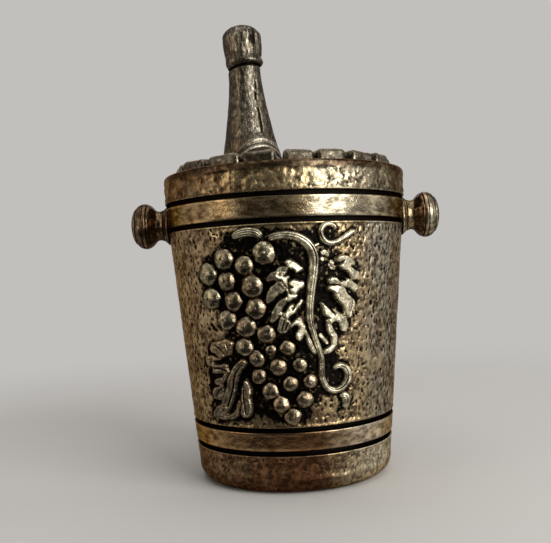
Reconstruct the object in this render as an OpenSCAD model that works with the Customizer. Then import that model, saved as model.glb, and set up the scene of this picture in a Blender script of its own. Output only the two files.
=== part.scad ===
// Toothpick holder: a cast bucket with a grapevine in relief, two hoops and two knobs,
// closed by a lid of ice blocks with a bottle that lifts out a tray of toothpicks.
// Millimetres, +Z up. The relief faces -Y, and the origin lies under the bucket's axis on its foot.

/* [Bucket] */
// Height from the foot to the rim
bucket_height = 72; // [71:0.5:76]
// Outer radius of the wall's cone at the rim
rim_radius = 29.7; // [29.2:0.1:31]
// Outer radius of the wall's cone carried down to the foot
base_radius = 23; // [22.6:0.1:24]
// Thickness of the wall, measured across the axis
wall_thickness = 3.2; // [3:0.1:3.5]
// Thickness of the floor
floor_thickness = 2.2; // [2:0.1:2.4]
// Rounding of the wall's bottom edge
base_round = 3.5; // [2.5:0.1:4.5]
// Half the thickness of the rounded lip
lip_round = 1.2; // [1:0.05:1.3]
// Depth of the hollow under the foot
foot_hollow = 0.8; // [0.5:0.1:1]
// Width of the ring that the bucket stands on
foot_width = 5; // [3:0.5:8]

/* [Hoops] */
// Width of the upper hoop
upper_hoop_width = 4.76; // [4.4:0.02:5]
// Width of the lower hoop
lower_hoop_width = 4.28; // [4:0.02:4.8]
// Width of the open groove on each side of a hoop
groove_width = 1; // [0.8:0.05:1.2]
// Depth of the channel that a hoop lies in
channel_depth = 1.2; // [1:0.05:1.4]
// Bevel of a hoop's outer edges
hoop_bevel = 0.3; // [0.2:0.05:0.5]

/* [Knobs] */
// Length of a knob, from the wall to its end
knob_length = 9.1; // [8.7:0.1:9.5]
// Radius of a knob's head
knob_radius = 5.6; // [5.2:0.1:6]
// Depth of the grooves turned in the head
knob_groove = 0.2; // [0.1:0.05:0.3]
// Diameter of the screws that hold the knobs and the bottle
screw_diameter = 3; // [2.6:0.1:3.1]
// Length that a screw reaches into its thread
screw_reach = 5; // [4:0.5:5.5]
// Diameter of a screw's head
screw_head_diameter = 5.4; // [5:0.1:5.6]
// Height of a screw's head
screw_head = 1.6; // [1.4:0.1:1.8]

/* [Relief] */
// Diameter of a large grape
grape_diameter = 4.1; // [3.8:0.05:4.2]
// Width of the vine's stem at its thickest
stem_width = 2.1; // [1.7:0.05:2.2]
// Height of the stem over the wall
stem_height = 1.5; // [1:0.1:1.9]
// Width of the upper tendril
tendril_width = 1.1; // [0.8:0.05:1.15]
// Height of the tendrils and buds over the wall
tendril_height = 1.1; // [0.8:0.1:1.4]
// Thickness of a leaf at its edge
leaf_edge = 0.6; // [0.4:0.05:0.8]
// Rise of a leaf from its edge to its heart
leaf_rise = 0.7; // [0.4:0.05:1]
// Rise of the ribs along a leaf's lobes
leaf_rib = 0.7; // [0.4:0.05:0.9]

/* [Lid] */
// Depth of the lid's seat under the rim
lid_drop = 3; // [2.8:0.1:3.2]
// Thickness of the lid's plate
lid_plate_thickness = 2; // [1.8:0.1:2.2]
// Depth of the ring that centres the lid
spigot_depth = 3; // [2.5:0.1:3.3]
// Thickness of the ring that centres the lid
spigot_wall = 1.6; // [1.2:0.1:2]
// Width of an ice block inside the ring, as a share of the plate's radius
ice_width_share = 0.246; // [0.23:0.001:0.25]
// Depth of an ice block towards the axis, as a share of the plate's radius
ice_depth_share = 0.22; // [0.21:0.001:0.226]
// Radius of the rounding that takes off an ice block's corners, as a share of the plate's radius
ice_round_share = 0.205; // [0.198:0.001:0.222]
// Height of an ice block over the plate
ice_height = 3.8; // [3.5:0.1:4.1]
// Gap between neighbouring blocks of the ring
ring_gap = 0.9; // [0.8:0.1:1.2]

/* [Bottle] */
// Height of the bottle over the lid's plate
bottle_height = 38.6; // [37:0.2:40]
// Radius of the bottle's shoulder, as a share of the lid plate's radius
shoulder_share = 0.321; // [0.314:0.001:0.328]
// Radius of the bottle's neck
bottle_neck_radius = 4.05; // [3.9:0.05:4.2]
// Radius of the foil-covered cork
cork_radius = 4.85; // [4.7:0.05:5]
// Distance of the bottle's axis from the bucket's, as a share of the lid plate's radius
bottle_offset_share = 0.274; // [0.27:0.001:0.28]
// Lean of the bottle to the left, in degrees
bottle_lean = 2.3; // [0:0.1:4]

/* [Lifter] */
// Diameter of the rod between lid and tray
rod_diameter = 4; // [3.5:0.1:4.4]
// Radius of the boss and of the hub that hold the rod, as a share of the lid plate's radius
hub_share = 0.134; // [0.128:0.001:0.15]
// Height of the hub over the tray's floor
hub_height = 5; // [4:0.5:6]
// Thickness of the tray's floor and rim
tray_wall = 1; // [0.8:0.1:1.2]
// Height of the tray
tray_height = 6.5; // [5:0.5:8]

/* [Fits] */
// Gap between the tray and the bucket's floor
tray_lift = 0.3; // [0.25:0.05:0.4]
// Gap round the tray
tray_clearance = 0.7; // [0.6:0.05:1]
// Gap round the lid's plate
lid_clearance = 0.35; // [0.3:0.01:0.4]
// Gap round the ring that centres the lid
spigot_clearance = 0.8; // [0.7:0.05:1]
// Gap round a knob screw's head in its pocket
pocket_clearance = 0.6; // [0.4:0.1:0.8]
// Gap round a screw or rod in its hole
bore_clearance = 0.05; // [0.03:0.01:0.08]
// Gap under a piece that is fixed on the wall
seat_gap = 0.03; // [0.02:0.01:0.05]

/* [Hidden] */
$fn = 96;
// How far a cutting shape runs past what it cuts
overrun = bucket_height;
cone_slope = (rim_radius - base_radius) / bucket_height;
cone_lean = atan(cone_slope);
cone_stretch = sqrt(1 + cone_slope * cone_slope);
function cone_radius(z) = base_radius + cone_slope * z;
function cavity_radius(z) = cone_radius(z) - wall_thickness;

// Heights of the hoops and knobs, as shares of the bucket's height
upper_hoop_share = 0.8635;
lower_hoop_share = 0.1635;
knob_share = 0.8486;
upper_hoop_centre = bucket_height * upper_hoop_share;
lower_hoop_centre = bucket_height * lower_hoop_share;
knob_height = bucket_height * knob_share;

// The bucket's mouth, seat and floor
lip_centre = cone_radius(bucket_height - lip_round) - lip_round * cone_stretch;
mouth_radius = lip_centre - lip_round;
seat_height = bucket_height - lid_drop;
base_centre = base_radius + cone_slope * base_round - base_round * cone_stretch;
foot_radius = base_centre - foot_width;
floor_bevel = tray_wall;

// The lid, from its seat upwards
plate_top = seat_height + lid_plate_thickness;
plate_radius = mouth_radius - lid_clearance;
spigot_radius = cavity_radius(seat_height - spigot_depth) - spigot_clearance;
ice_width = plate_radius * ice_width_share;
ice_depth = plate_radius * ice_depth_share;
ice_round = plate_radius * ice_round_share;
shoulder_radius = plate_radius * shoulder_share;
bottle_offset = plate_radius * bottle_offset_share;
hub_radius = plate_radius * hub_share;
// How far the ring of ice stays back from the plate's edge
ring_back_share = 0.026;
// Turn of each block of the ring from the front, as a share of a full turn
ring_turn_shares = [
    -0.146, -0.085, -0.031, 0.021, 0.069, 0.12, 0.176, 0.232, 0.289, 0.346, 0.403, 0.46, 0.516, 0.573, 0.63,
    0.686, 0.743, 0.799
];
function ring_turn(i) =
    let (n = len(ring_turn_shares))
    360 * (ring_turn_shares[(i + n) % n] + floor(i / n));
// Width that a block has at a distance from the axis, up to its nearest neighbour
function ring_width(i, away) =
    let (room = min(ring_turn(i + 1) - ring_turn(i), ring_turn(i) - ring_turn(i - 1)))
    2 * away * sin(room / 2) - ring_gap;

// The tray and its rod
tray_bottom = floor_thickness + tray_lift;
tray_radius = cavity_radius(tray_bottom) - tray_clearance;
rod_bottom = tray_bottom + tray_wall;
rod_top = seat_height;
bore_radius = rod_diameter / 2 + bore_clearance;

// The knob's screw rests in a flat pocket on the inside of the wall
screw_radius = screw_diameter / 2;
screw_bore = screw_radius + bore_clearance;
screw_head_radius = screw_head_diameter / 2;
pocket_share = 0.16;
pocket_floor = cavity_radius(knob_height) + wall_thickness * pocket_share;
pocket_radius = screw_head_radius + pocket_clearance;
knob_foot = cone_radius(knob_height);
knob_end = knob_foot + knob_length;

// A knob's turned profile: place along it, and radius. A groove has its place, and the radius
// on each side of it
knob_neck_shares = [
    [0, 0.86], [0.05, 0.79], [0.11, 0.715], [0.18, 0.66], [0.25, 0.645], [0.31, 0.67], [0.36, 0.74],
    [0.41, 0.83], [0.47, 0.915]
];
inner_groove_shares = [0.545, 0.975, 0.985];
knob_head_shares = [[0.61, 1], [0.67, 0.995], [0.74, 0.96], [0.8, 0.9]];
outer_groove_shares = [0.85, 0.84, 0.81];
knob_end_shares = [[0.9, 0.735], [0.94, 0.61], [0.97, 0.46], [0.99, 0.28], [1, 0]];
groove_wide_share = 0.015;

// The bottle, as shares of its height, and of the cork's radius for the ring's rise
neck_end_share = 0.69;
foil_start_share = 0.73;
ring_share = 0.755;
ring_width_share = 0.022;
ring_rise_share = 0.13;
foil_full_share = 0.9;
dome_share = 0.93;
narrowing_power = 1.45;
dome_power = 2.3;
bottle_step_share = 0.02;

// The relief lies on a square panel, front-on, whose size and height follow the bucket's
panel_share = 0.6945;
panel_bottom_share = 0.139;
panel_size = bucket_height * panel_share;
panel_bottom = bucket_height * panel_bottom_share;
function panel_x(share) = panel_size * share;
function panel_z(share) = panel_bottom + panel_size * share;

// A place on the wall: x across the panel seen from the front, height z, and lift over the wall
function wall_point(x, z, lift) =
    let (r = cone_radius(z), a = asin(x / r), q = r + lift)
    [q * sin(a), -q * cos(a), z];

// Grapes: place across and up the panel, and size as a share of a large grape
grape_shares = [
    [-0.265, 0.836, 1], [-0.177, 0.803, 0.94], [-0.094, 0.853, 1.08], [-0.342, 0.774, 1.04],
    [-0.257, 0.741, 0.92], [-0.151, 0.717, 1.08], [-0.328, 0.668, 1.08], [-0.232, 0.654, 0.95],
    [-0.139, 0.62, 1], [-0.266, 0.574, 1], [-0.183, 0.544, 1], [-0.099, 0.51, 0.93], [-0.195, 0.457, 0.9],
    [-0.085, 0.441, 0.55], [-0.013, 0.447, 0.77], [-0.144, 0.405, 0.82], [-0.055, 0.368, 0.86],
    [0.036, 0.373, 0.74], [-0.139, 0.328, 0.77], [-0.008, 0.294, 0.79], [0.076, 0.301, 0.73],
    [-0.092, 0.265, 0.84], [-0.051, 0.206, 0.86], [0.051, 0.225, 0.86], [-0.003, 0.149, 0.82]
];
// How far a grape's centre stands out from the wall, as a share of its radius
grape_out_share = 0.12;

// Lines of the vine: place across and up the panel
stem_shares = [
    [-0.076, 0.91], [-0.044, 0.92], [0, 0.922], [0.044, 0.912], [0.08, 0.888], [0.1, 0.86], [0.11, 0.824],
    [0.108, 0.784], [0.102, 0.74], [0.094, 0.69], [0.088, 0.644], [0.084, 0.6], [0.084, 0.566],
    [0.09, 0.532], [0.102, 0.484], [0.114, 0.444], [0.124, 0.404], [0.126, 0.368], [0.124, 0.334],
    [0.128, 0.3], [0.142, 0.27], [0.166, 0.254], [0.194, 0.254], [0.22, 0.272], [0.236, 0.304],
    [0.23, 0.34], [0.208, 0.358], [0.186, 0.354], [0.174, 0.342]
];
stem_width_shares = [
    0.6, 0.73, 0.8, 0.86, 0.98, 1, 0.98, 0.95, 0.9, 0.83, 0.78, 0.74, 0.7, 0.64, 0.57, 0.54, 0.55, 0.55,
    0.52, 0.55, 0.62, 0.67, 0.69, 0.71, 0.71, 0.69, 0.62, 0.5, 0.33
];
tendril_shares = [
    [0.296, 0.94], [0.265, 0.924], [0.236, 0.904], [0.21, 0.889], [0.184, 0.884], [0.162, 0.895],
    [0.15, 0.918], [0.152, 0.942], [0.166, 0.959], [0.186, 0.963], [0.204, 0.953], [0.214, 0.936]
];
tendril_width_shares = [0.6, 0.9, 1, 1, 0.95, 0.95, 0.95, 0.95, 0.9, 0.85, 0.7, 0.45];
stalk_shares = [[0.068, 0.5], [0.073, 0.48], [0.079, 0.46], [0.088, 0.44], [0.095, 0.424]];
stalk_width_shares = [0.5, 0.9, 1, 0.85, 0.45];
bud_shares = [[0.203, 0.226], [0.22, 0.225], [0.232, 0.208], [0.232, 0.186], [0.226, 0.17]];
bud_width_shares = [0.5, 1, 1.2, 0.9, 0.4];
curl_shares = [[-0.234, 0.922], [-0.206, 0.942], [-0.168, 0.945], [-0.134, 0.934], [-0.108, 0.91]];
curl_width_shares = [0.6, 1, 1.05, 1, 0.5];

// Leaves: the heart, then the edge with 1 at the end of a lobe's rib and 0 between lobes
right_leaf_heart_share = [0.2, 0.65];
right_leaf_shares = [
    [0.132, 0.64, 0.2], [0.15, 0.69, 0.2], [0.164, 0.732, 1], [0.182, 0.768, 0], [0.196, 0.812, 0.5],
    [0.232, 0.828, 1], [0.28, 0.82, 1], [0.308, 0.776, 0.6], [0.288, 0.738, 0], [0.304, 0.704, 1],
    [0.288, 0.668, 0], [0.292, 0.62, 1], [0.272, 0.576, 0.8], [0.24, 0.548, 0.4], [0.212, 0.522, 0],
    [0.198, 0.472, 1], [0.174, 0.426, 1], [0.15, 0.43, 0.5], [0.154, 0.48, 0], [0.158, 0.54, 0],
    [0.138, 0.59, 0.8]
];
left_leaf_heart_share = [-0.008, 0.66];
left_leaf_shares = [
    [-0.004, 0.812, 0.5], [0.024, 0.816, 1], [0.062, 0.776, 0.6], [0.042, 0.73, 0], [0.064, 0.722, 0.8],
    [0.066, 0.7, 1], [0.036, 0.672, 0], [0.058, 0.646, 1], [0.032, 0.612, 0], [0.044, 0.572, 0.6],
    [0.052, 0.52, 1], [0.04, 0.484, 0.8], [0.018, 0.484, 0.4], [-0.006, 0.526, 0], [-0.044, 0.52, 1],
    [-0.038, 0.566, 0], [-0.08, 0.564, 1], [-0.06, 0.612, 0], [-0.09, 0.648, 1], [-0.078, 0.688, 0.5],
    [-0.052, 0.704, 0], [-0.088, 0.748, 1], [-0.072, 0.778, 0.6], [-0.028, 0.772, 0]
];
lower_leaf_heart_share = [-0.27, 0.29];
lower_leaf_shares = [
    [-0.248, 0.416, 0], [-0.228, 0.392, 0.5], [-0.198, 0.38, 1], [-0.22, 0.328, 0], [-0.19, 0.306, 0.3],
    [-0.176, 0.26, 0.6], [-0.178, 0.21, 1], [-0.186, 0.168, 0.6], [-0.22, 0.152, 0], [-0.248, 0.128, 0.4],
    [-0.31, 0.126, 0.5], [-0.356, 0.138, 1], [-0.362, 0.17, 1], [-0.326, 0.226, 0], [-0.35, 0.228, 0.8],
    [-0.358, 0.256, 1], [-0.316, 0.278, 0], [-0.342, 0.288, 0.8], [-0.344, 0.306, 1], [-0.322, 0.318, 0],
    [-0.354, 0.344, 0.5], [-0.376, 0.372, 1], [-0.374, 0.396, 1], [-0.332, 0.402, 0], [-0.352, 0.462, 0.8],
    [-0.31, 0.488, 1], [-0.26, 0.486, 0.5]
];

// Steps of a curve between two places, and of a stem's round section
curve_steps = 2;
round_steps = 5;
// Where a leaf's rings lie between its heart and its edge
leaf_ring_shares = [0.84, 0.62, 0.4, 0.2];
leaf_back_shares = [0.66, 0.33];

// A smooth curve through the places of a list
function at(p, i) = p[max(0, min(len(p) - 1, i))];
function around(p, i) = p[(i + len(p)) % len(p)];
function blend(a, b, c, d, t) =
    (2 * b + (c - a) * t + (2 * a - 5 * b + 4 * c - d) * t * t + (3 * b - a - 3 * c + d) * t * t * t) / 2;
function open_curve(p) = [
    for (i = [0 : len(p) - 2]) for (k = [0 : curve_steps - 1])
        blend(at(p, i - 1), p[i], at(p, i + 1), at(p, i + 2), k / curve_steps),
    p[len(p) - 1]
];
function closed_curve(p) = [
    for (i = [0 : len(p) - 1]) for (k = [0 : curve_steps - 1])
        blend(around(p, i - 1), p[i], around(p, i + 1), around(p, i + 2), k / curve_steps)
];

// Triangles between two neighbouring rings of n points, the first starting at a, the second at b
function band(a, b, n) = [
    for (j = [0 : n - 1]) each [
        [a + j, b + j, b + (j + 1) % n], [a + j, b + (j + 1) % n, a + (j + 1) % n]
    ]
];

// A half-round line lying on the wall
module wall_line(shares, width_shares, width, height) {
    mid = open_curve(shares);
    wide = open_curve(width_shares);
    last = len(mid) - 1;
    n = round_steps + 1;
    points = [
        for (i = [0 : last])
            let (
                step = at(mid, i + 1) - at(mid, i - 1),
                side = [-step[1], step[0]] / norm(step),
                x = panel_x(mid[i][0]), z = panel_z(mid[i][1]),
                w = width * wide[i] / 2, h = height * sqrt(wide[i])
            )
            for (j = [0 : round_steps])
                let (a = 180 * j / round_steps)
                wall_point(
                    x + side[0] * w * cos(a), z + side[1] * w * cos(a),
                    2 * seat_gap + h * sin(a)
                )
    ];
    ends = [
        [for (j = [0 : n - 1]) j],
        [for (j = [0 : n - 1]) last * n + n - 1 - j]
    ];
    polyhedron(points, concat([for (i = [0 : last - 1]) each band(i * n, (i + 1) * n, n)], ends));
}

// A lobed leaf lying on the wall, thickest at its heart and along its ribs
module wall_leaf(heart_share, edge_shares) {
    edge = closed_curve(edge_shares);
    n = len(edge);
    tops = concat([1], leaf_ring_shares);
    backs = concat([1], leaf_back_shares);
    heart_x = panel_x(heart_share[0]);
    heart_z = panel_z(heart_share[1]);
    function over(e, s, lift) = wall_point(
        heart_x + (panel_x(e[0]) - heart_x) * s, heart_z + (panel_z(e[1]) - heart_z) * s, lift
    );
    function top_lift(rib, s) = leaf_edge + leaf_rise * (1 - s * s) + leaf_rib * rib * sin(180 * s);
    points = concat(
        [for (s = tops) for (e = edge) over(e, s, top_lift(e[2], s))],
        [for (s = backs) for (e = edge) over(e, s, 2 * seat_gap)],
        [wall_point(heart_x, heart_z, leaf_edge + leaf_rise), wall_point(heart_x, heart_z, 2 * seat_gap)]
    );
    back = len(tops) * n;
    crown = back + len(backs) * n;
    inner = (len(tops) - 1) * n;
    deep = back + (len(backs) - 1) * n;
    faces = concat(
        [for (i = [0 : len(tops) - 2]) each band((i + 1) * n, i * n, n)],
        [for (j = [0 : n - 1]) [crown, inner + j, inner + (j + 1) % n]],
        [for (i = [0 : len(backs) - 2]) each band(back + i * n, back + (i + 1) * n, n)],
        [for (j = [0 : n - 1]) [crown + 1, deep + (j + 1) % n, deep + j]],
        band(0, back, n)
    );
    polyhedron(points, faces);
}

// The solid inside the wall's outer face
module wall_core(grow) {
    cylinder(h = bucket_height, r1 = base_radius + grow, r2 = rim_radius + grow);
}

// Both knobs' screw holes through wall and hoop
module knob_bores() {
    translate([0, 0, knob_height])
        rotate([0, 90, 0])
            cylinder(h = 2 * overrun, r = screw_bore, center = true);
}

module bucket_shell() {
    function channel(centre, width) =
        let (low = centre - width / 2 - groove_width, high = centre + width / 2 + groove_width)
        [
            [cone_radius(low), low], [cone_radius(low) - channel_depth, low],
            [cone_radius(high) - channel_depth, high], [cone_radius(high), high]
        ];
    outline = concat(
        [[0, foot_hollow], [foot_radius - foot_hollow, foot_hollow], [foot_radius, 0]],
        [for (a = [-90 : 15 : -15]) [base_centre, base_round] + base_round * [cos(a), sin(a)]],
        [[base_centre, base_round] + base_round * [cos(cone_lean), -sin(cone_lean)]],
        channel(lower_hoop_centre, lower_hoop_width),
        channel(upper_hoop_centre, upper_hoop_width),
        [for (a = [0 : 15 : 180]) [lip_centre, bucket_height - lip_round] + lip_round * [cos(a), sin(a)]],
        [
            [mouth_radius, seat_height], [cavity_radius(seat_height), seat_height],
            [cavity_radius(floor_thickness + floor_bevel), floor_thickness + floor_bevel],
            [cavity_radius(floor_thickness + floor_bevel) - floor_bevel, floor_thickness],
            [0, floor_thickness]
        ]
    );
    color("#8a6f4a")
        difference() {
            rotate_extrude() polygon(outline);
            knob_bores();
            translate([0, 0, knob_height])
                rotate([0, 90, 0])
                    cylinder(h = 2 * pocket_floor, r = pocket_radius, center = true);
        }
}

// A hoop lying in its channel, flush with the wall
module hoop(centre, width) {
    low = centre - width / 2;
    high = centre + width / 2;
    depth = channel_depth - seat_gap;
    rotate_extrude()
        polygon([
            [cone_radius(low) - depth, low], [cone_radius(low) - hoop_bevel, low],
            [cone_radius(low + hoop_bevel), low + hoop_bevel],
            [cone_radius(high - hoop_bevel), high - hoop_bevel],
            [cone_radius(high) - hoop_bevel, high], [cone_radius(high) - depth, high]
        ]);
}

module upper_hoop() {
    color("#a98a5c")
        difference() {
            hoop(upper_hoop_centre, upper_hoop_width);
            knob_bores();
        }
}

module lower_hoop() {
    color("#a98a5c") hoop(lower_hoop_centre, lower_hoop_width);
}

// A turned knob, drawn along +X, with its foot cut to the wall
module knob() {
    function groove(g) = [
        [knob_foot + knob_length * (g[0] - groove_wide_share), knob_radius * g[1]],
        [knob_foot + knob_length * g[0], knob_radius * g[1] - knob_groove],
        [knob_foot + knob_length * (g[0] + groove_wide_share), knob_radius * g[2]]
    ];
    function turned(shares) = [for (k = shares) [knob_foot + knob_length * k[0], knob_radius * k[1]]];
    sunk = knob_foot - knob_radius / 2;
    profile = concat(
        [[sunk, 0], [sunk, knob_radius * knob_neck_shares[0][1]]],
        turned(knob_neck_shares), groove(inner_groove_shares),
        turned(knob_head_shares), groove(outer_groove_shares), turned(knob_end_shares)
    );
    difference() {
        translate([0, 0, knob_height])
            rotate([0, 90, 0])
                rotate_extrude()
                    polygon([for (k = profile) [k[1], k[0]]]);
        wall_core(seat_gap);
        translate([0, 0, knob_height])
            rotate([0, 90, 0])
                cylinder(h = knob_foot + screw_reach + bore_clearance, r = screw_bore);
    }
}

module left_knob() {
    color("#8c6845") rotate([0, 0, 180]) knob();
}

module right_knob() {
    color("#8c6845") knob();
}

// A round-headed screw standing on its head's underside, pointing up
module screw(reach) {
    rotate_extrude()
        polygon(concat(
            [[0, reach], [screw_radius, reach], [screw_radius, 0], [screw_head_radius, 0]],
            [for (a = [0 : 15 : 90]) [screw_head_radius * cos(a / 2), -screw_head * (a / 90)]],
            [[0, -screw_head]]
        ));
}

module knob_screws() {
    color("#77736c")
        for (turn = [0, 180])
            rotate([0, 0, turn])
                translate([pocket_floor, 0, knob_height])
                    rotate([0, 90, 0])
                        screw(knob_foot - pocket_floor + screw_reach);
}

module grape_cluster() {
    color("#9a845c")
        for (g = grape_shares) {
            radius = grape_diameter / 2 * g[2];
            middle = wall_point(panel_x(g[0]), panel_z(g[1]), radius * grape_out_share);
            difference() {
                translate(middle)
                    rotate([90, 0, atan2(middle[0], -middle[1])])
                        sphere(r = radius);
                wall_core(seat_gap);
            }
        }
}

module vine_stem() {
    color("#b59d6c") wall_line(stem_shares, stem_width_shares, stem_width, stem_height);
}

module upper_tendril() {
    color("#b59d6c") wall_line(tendril_shares, tendril_width_shares, tendril_width, tendril_height);
}

module vine_bud() {
    color("#b59d6c") wall_line(bud_shares, bud_width_shares, tendril_width, tendril_height);
}

module curled_leaf() {
    color("#a58c5e") wall_line(curl_shares, curl_width_shares, stem_width, tendril_height);
}

module left_leaf() {
    color("#a58c5e") {
        wall_leaf(left_leaf_heart_share, left_leaf_shares);
        wall_line(stalk_shares, stalk_width_shares, tendril_width, tendril_height);
    }
}

module right_leaf() {
    color("#a58c5e") wall_leaf(right_leaf_heart_share, right_leaf_shares);
}

module lower_leaf() {
    color("#a58c5e") wall_leaf(lower_leaf_heart_share, lower_leaf_shares);
}

module lid_plate() {
    boss_bottom = seat_height - hub_height;
    color("#6d6254")
        difference() {
            rotate_extrude()
                polygon([
                    [0, boss_bottom], [hub_radius, boss_bottom], [hub_radius, seat_height],
                    [spigot_radius - spigot_wall, seat_height],
                    [spigot_radius - spigot_wall, seat_height - spigot_depth],
                    [spigot_radius, seat_height - spigot_depth], [spigot_radius, seat_height],
                    [plate_radius, seat_height], [plate_radius, plate_top], [0, plate_top]
                ]);
            cylinder(h = rod_top, r = bore_radius);
            translate([-bottle_offset, 0, 0]) cylinder(h = overrun, r = screw_bore);
        }
}

// One ice block with its corners taken off, its middle at the plate's top
module ice_block(width, depth, height) {
    intersection() {
        cube([width, depth, 2 * height], center = true);
        sphere(r = ice_round);
    }
}

// Everything under the plate's top
module under_plate() {
    translate([0, 0, plate_top - overrun]) cylinder(h = overrun, r = overrun);
}

module ice_ring() {
    // Heights as shares, and leans in degrees, which repeat round the ring
    ring_height_shares = [1, 0.96, 1.02, 0.94, 1, 0.98, 1.03];
    ring_leans = [-3, 2, 3, -2, 1];
    middle = plate_radius * (1 - ring_back_share) - ice_depth / 2;
    color("#7b7163")
        difference() {
            for (i = [0 : len(ring_turn_shares) - 1]) {
                inner = ring_width(i, middle - ice_depth / 2) / 2;
                outer = ring_width(i, middle + ice_depth / 2) / 2;
                high = ice_height * ring_height_shares[i % len(ring_height_shares)];
                rotate([0, 0, ring_turn(i) - 90])
                    translate([middle, 0, plate_top])
                        rotate([ring_leans[i % 5], ring_leans[(i + 2) % 5], ring_leans[(i + 1) % 5]])
                            intersection() {
                                linear_extrude(2 * high, center = true)
                                    polygon([
                                        [-ice_depth / 2, -inner], [ice_depth / 2, -outer],
                                        [ice_depth / 2, outer], [-ice_depth / 2, inner]
                                    ]);
                                sphere(r = ice_round);
                            }
            }
            under_plate();
        }
}

module ice_heap() {
    // Turn about the axis, distance from it as a share of the plate's radius, own turn,
    // and the height and size as shares
    heap_shares = [
        [0, 0.585, 6, 1.1, 1.06], [36, 0.585, -8, 1.04, 1.04], [72, 0.585, 5, 1.12, 1.06],
        [108, 0.585, -4, 1.02, 1.02], [-36, 0.585, 9, 1.12, 1.04], [-72, 0.585, -6, 1.06, 1.06],
        [-108, 0.585, 3, 1.1, 1.02], [139, 0.635, 8, 0.98, 0.78], [-139, 0.635, -7, 1, 0.78],
        [0, 0.22, -7, 1.26, 0.86], [66, 0.3, 12, 1.2, 0.86], [-66, 0.3, -10, 1.22, 0.86]
    ];
    color("#7b7163")
        difference() {
            for (b = heap_shares)
                rotate([0, 0, b[0]])
                    translate([plate_radius * b[1], 0, plate_top])
                        rotate([b[2] / 3, -b[2] / 4, b[2]])
                            ice_block(ice_depth * b[4], ice_width * b[4], ice_height * b[3]);
            under_plate();
        }
}

// The bottle's radius at a share t of its height: a shoulder that narrows to the neck,
// a ring under the foil, and the foil over the cork with a rounded top
function bottle_radius(t) =
    let (
        narrowing = pow(1 - min(1, t / neck_end_share), narrowing_power),
        neck = bottle_neck_radius + (shoulder_radius - bottle_neck_radius) * narrowing,
        up = max(0, min(1, (t - foil_start_share) / (foil_full_share - foil_start_share))),
        foil = (cork_radius - bottle_neck_radius) * (1 - pow(1 - up, 2)),
        ring = cork_radius * ring_rise_share * exp(-pow((t - ring_share) / ring_width_share, 2)),
        over = max(0, (t - dome_share) / (1 - dome_share))
    )
    (neck + foil + ring) * pow(1 - pow(over, dome_power), 1 / dome_power);

module bottle() {
    foot = -lid_plate_thickness;
    color("#6f675b")
        difference() {
            translate([-bottle_offset, 0, plate_top])
                rotate([0, -bottle_lean, 0])
                    rotate_extrude()
                        polygon(concat(
                            [[0, foot], [shoulder_radius, foot]],
                            [
                                for (t = [0 : bottle_step_share : 1 - bottle_step_share / 2])
                                    [bottle_radius(t), bottle_height * t]
                            ],
                            [[0, bottle_height]]
                        ));
            under_plate();
            translate([-bottle_offset, 0, 0])
                cylinder(h = plate_top + screw_reach + bore_clearance, r = screw_bore);
        }
}

module bottle_screw() {
    color("#77736c")
        translate([-bottle_offset, 0, seat_height]) screw(lid_plate_thickness + screw_reach);
}

module pull_rod() {
    color("#8d8d8a")
        translate([0, 0, rod_bottom]) cylinder(h = rod_top - rod_bottom, d = rod_diameter);
}

module pick_tray() {
    hub_top = tray_bottom + tray_wall + hub_height;
    color("#7d7566")
        difference() {
            rotate_extrude()
                polygon([
                    [0, tray_bottom], [tray_radius - floor_bevel, tray_bottom],
                    [tray_radius, tray_bottom + floor_bevel], [tray_radius, tray_bottom + tray_height],
                    [tray_radius - tray_wall, tray_bottom + tray_height],
                    [tray_radius - tray_wall, tray_bottom + tray_wall],
                    [hub_radius, tray_bottom + tray_wall], [hub_radius, hub_top], [0, hub_top]
                ]);
            translate([0, 0, rod_bottom]) cylinder(h = overrun, r = bore_radius);
        }
}

bucket_shell();
upper_hoop();
lower_hoop();
left_knob();
right_knob();
knob_screws();
grape_cluster();
vine_stem();
upper_tendril();
vine_bud();
curled_leaf();
left_leaf();
right_leaf();
lower_leaf();
lid_plate();
ice_ring();
ice_heap();
bottle();
bottle_screw();
pull_rod();
pick_tray();
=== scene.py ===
"""Looks of the toothpick holder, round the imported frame. Lengths are millimetres until a mesh is made."""

import math

import bpy
import numpy as np
from mathutils import Matrix, Vector


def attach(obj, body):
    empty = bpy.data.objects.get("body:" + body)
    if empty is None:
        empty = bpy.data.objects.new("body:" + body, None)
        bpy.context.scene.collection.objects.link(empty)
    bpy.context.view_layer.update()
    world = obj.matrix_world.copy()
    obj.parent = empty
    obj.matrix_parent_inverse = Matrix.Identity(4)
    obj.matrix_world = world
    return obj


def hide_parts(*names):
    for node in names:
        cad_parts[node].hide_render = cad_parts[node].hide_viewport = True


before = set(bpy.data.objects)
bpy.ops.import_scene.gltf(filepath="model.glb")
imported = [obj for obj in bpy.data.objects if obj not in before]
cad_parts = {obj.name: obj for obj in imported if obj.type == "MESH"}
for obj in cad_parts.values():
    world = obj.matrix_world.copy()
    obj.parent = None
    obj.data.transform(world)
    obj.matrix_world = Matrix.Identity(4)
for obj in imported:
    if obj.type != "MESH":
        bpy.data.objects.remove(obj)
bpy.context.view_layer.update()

MM = 0.001

# Main sizes, as in the CAD model
BUCKET_HEIGHT = 72.0
BASE_RADIUS = 23.0
RIM_RADIUS = 29.7
WALL = 3.2
FLOOR = 2.2
CONE_SLOPE = (RIM_RADIUS - BASE_RADIUS) / BUCKET_HEIGHT
CONE_LEAN = math.atan(CONE_SLOPE)
CHANNEL_DEPTH = 1.2
GROOVE = 1.0
# Middle height and width of each hoop
UPPER_HOOP = (62.172, 4.76)
LOWER_HOOP = (11.772, 4.28)
KNOB_HEIGHT = 61.1
SEAT = 69.0
PLATE_TOP = 71.0
PLATE_RADIUS = 26.83


def cone_radius(z):
    return BASE_RADIUS + CONE_SLOPE * z


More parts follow.
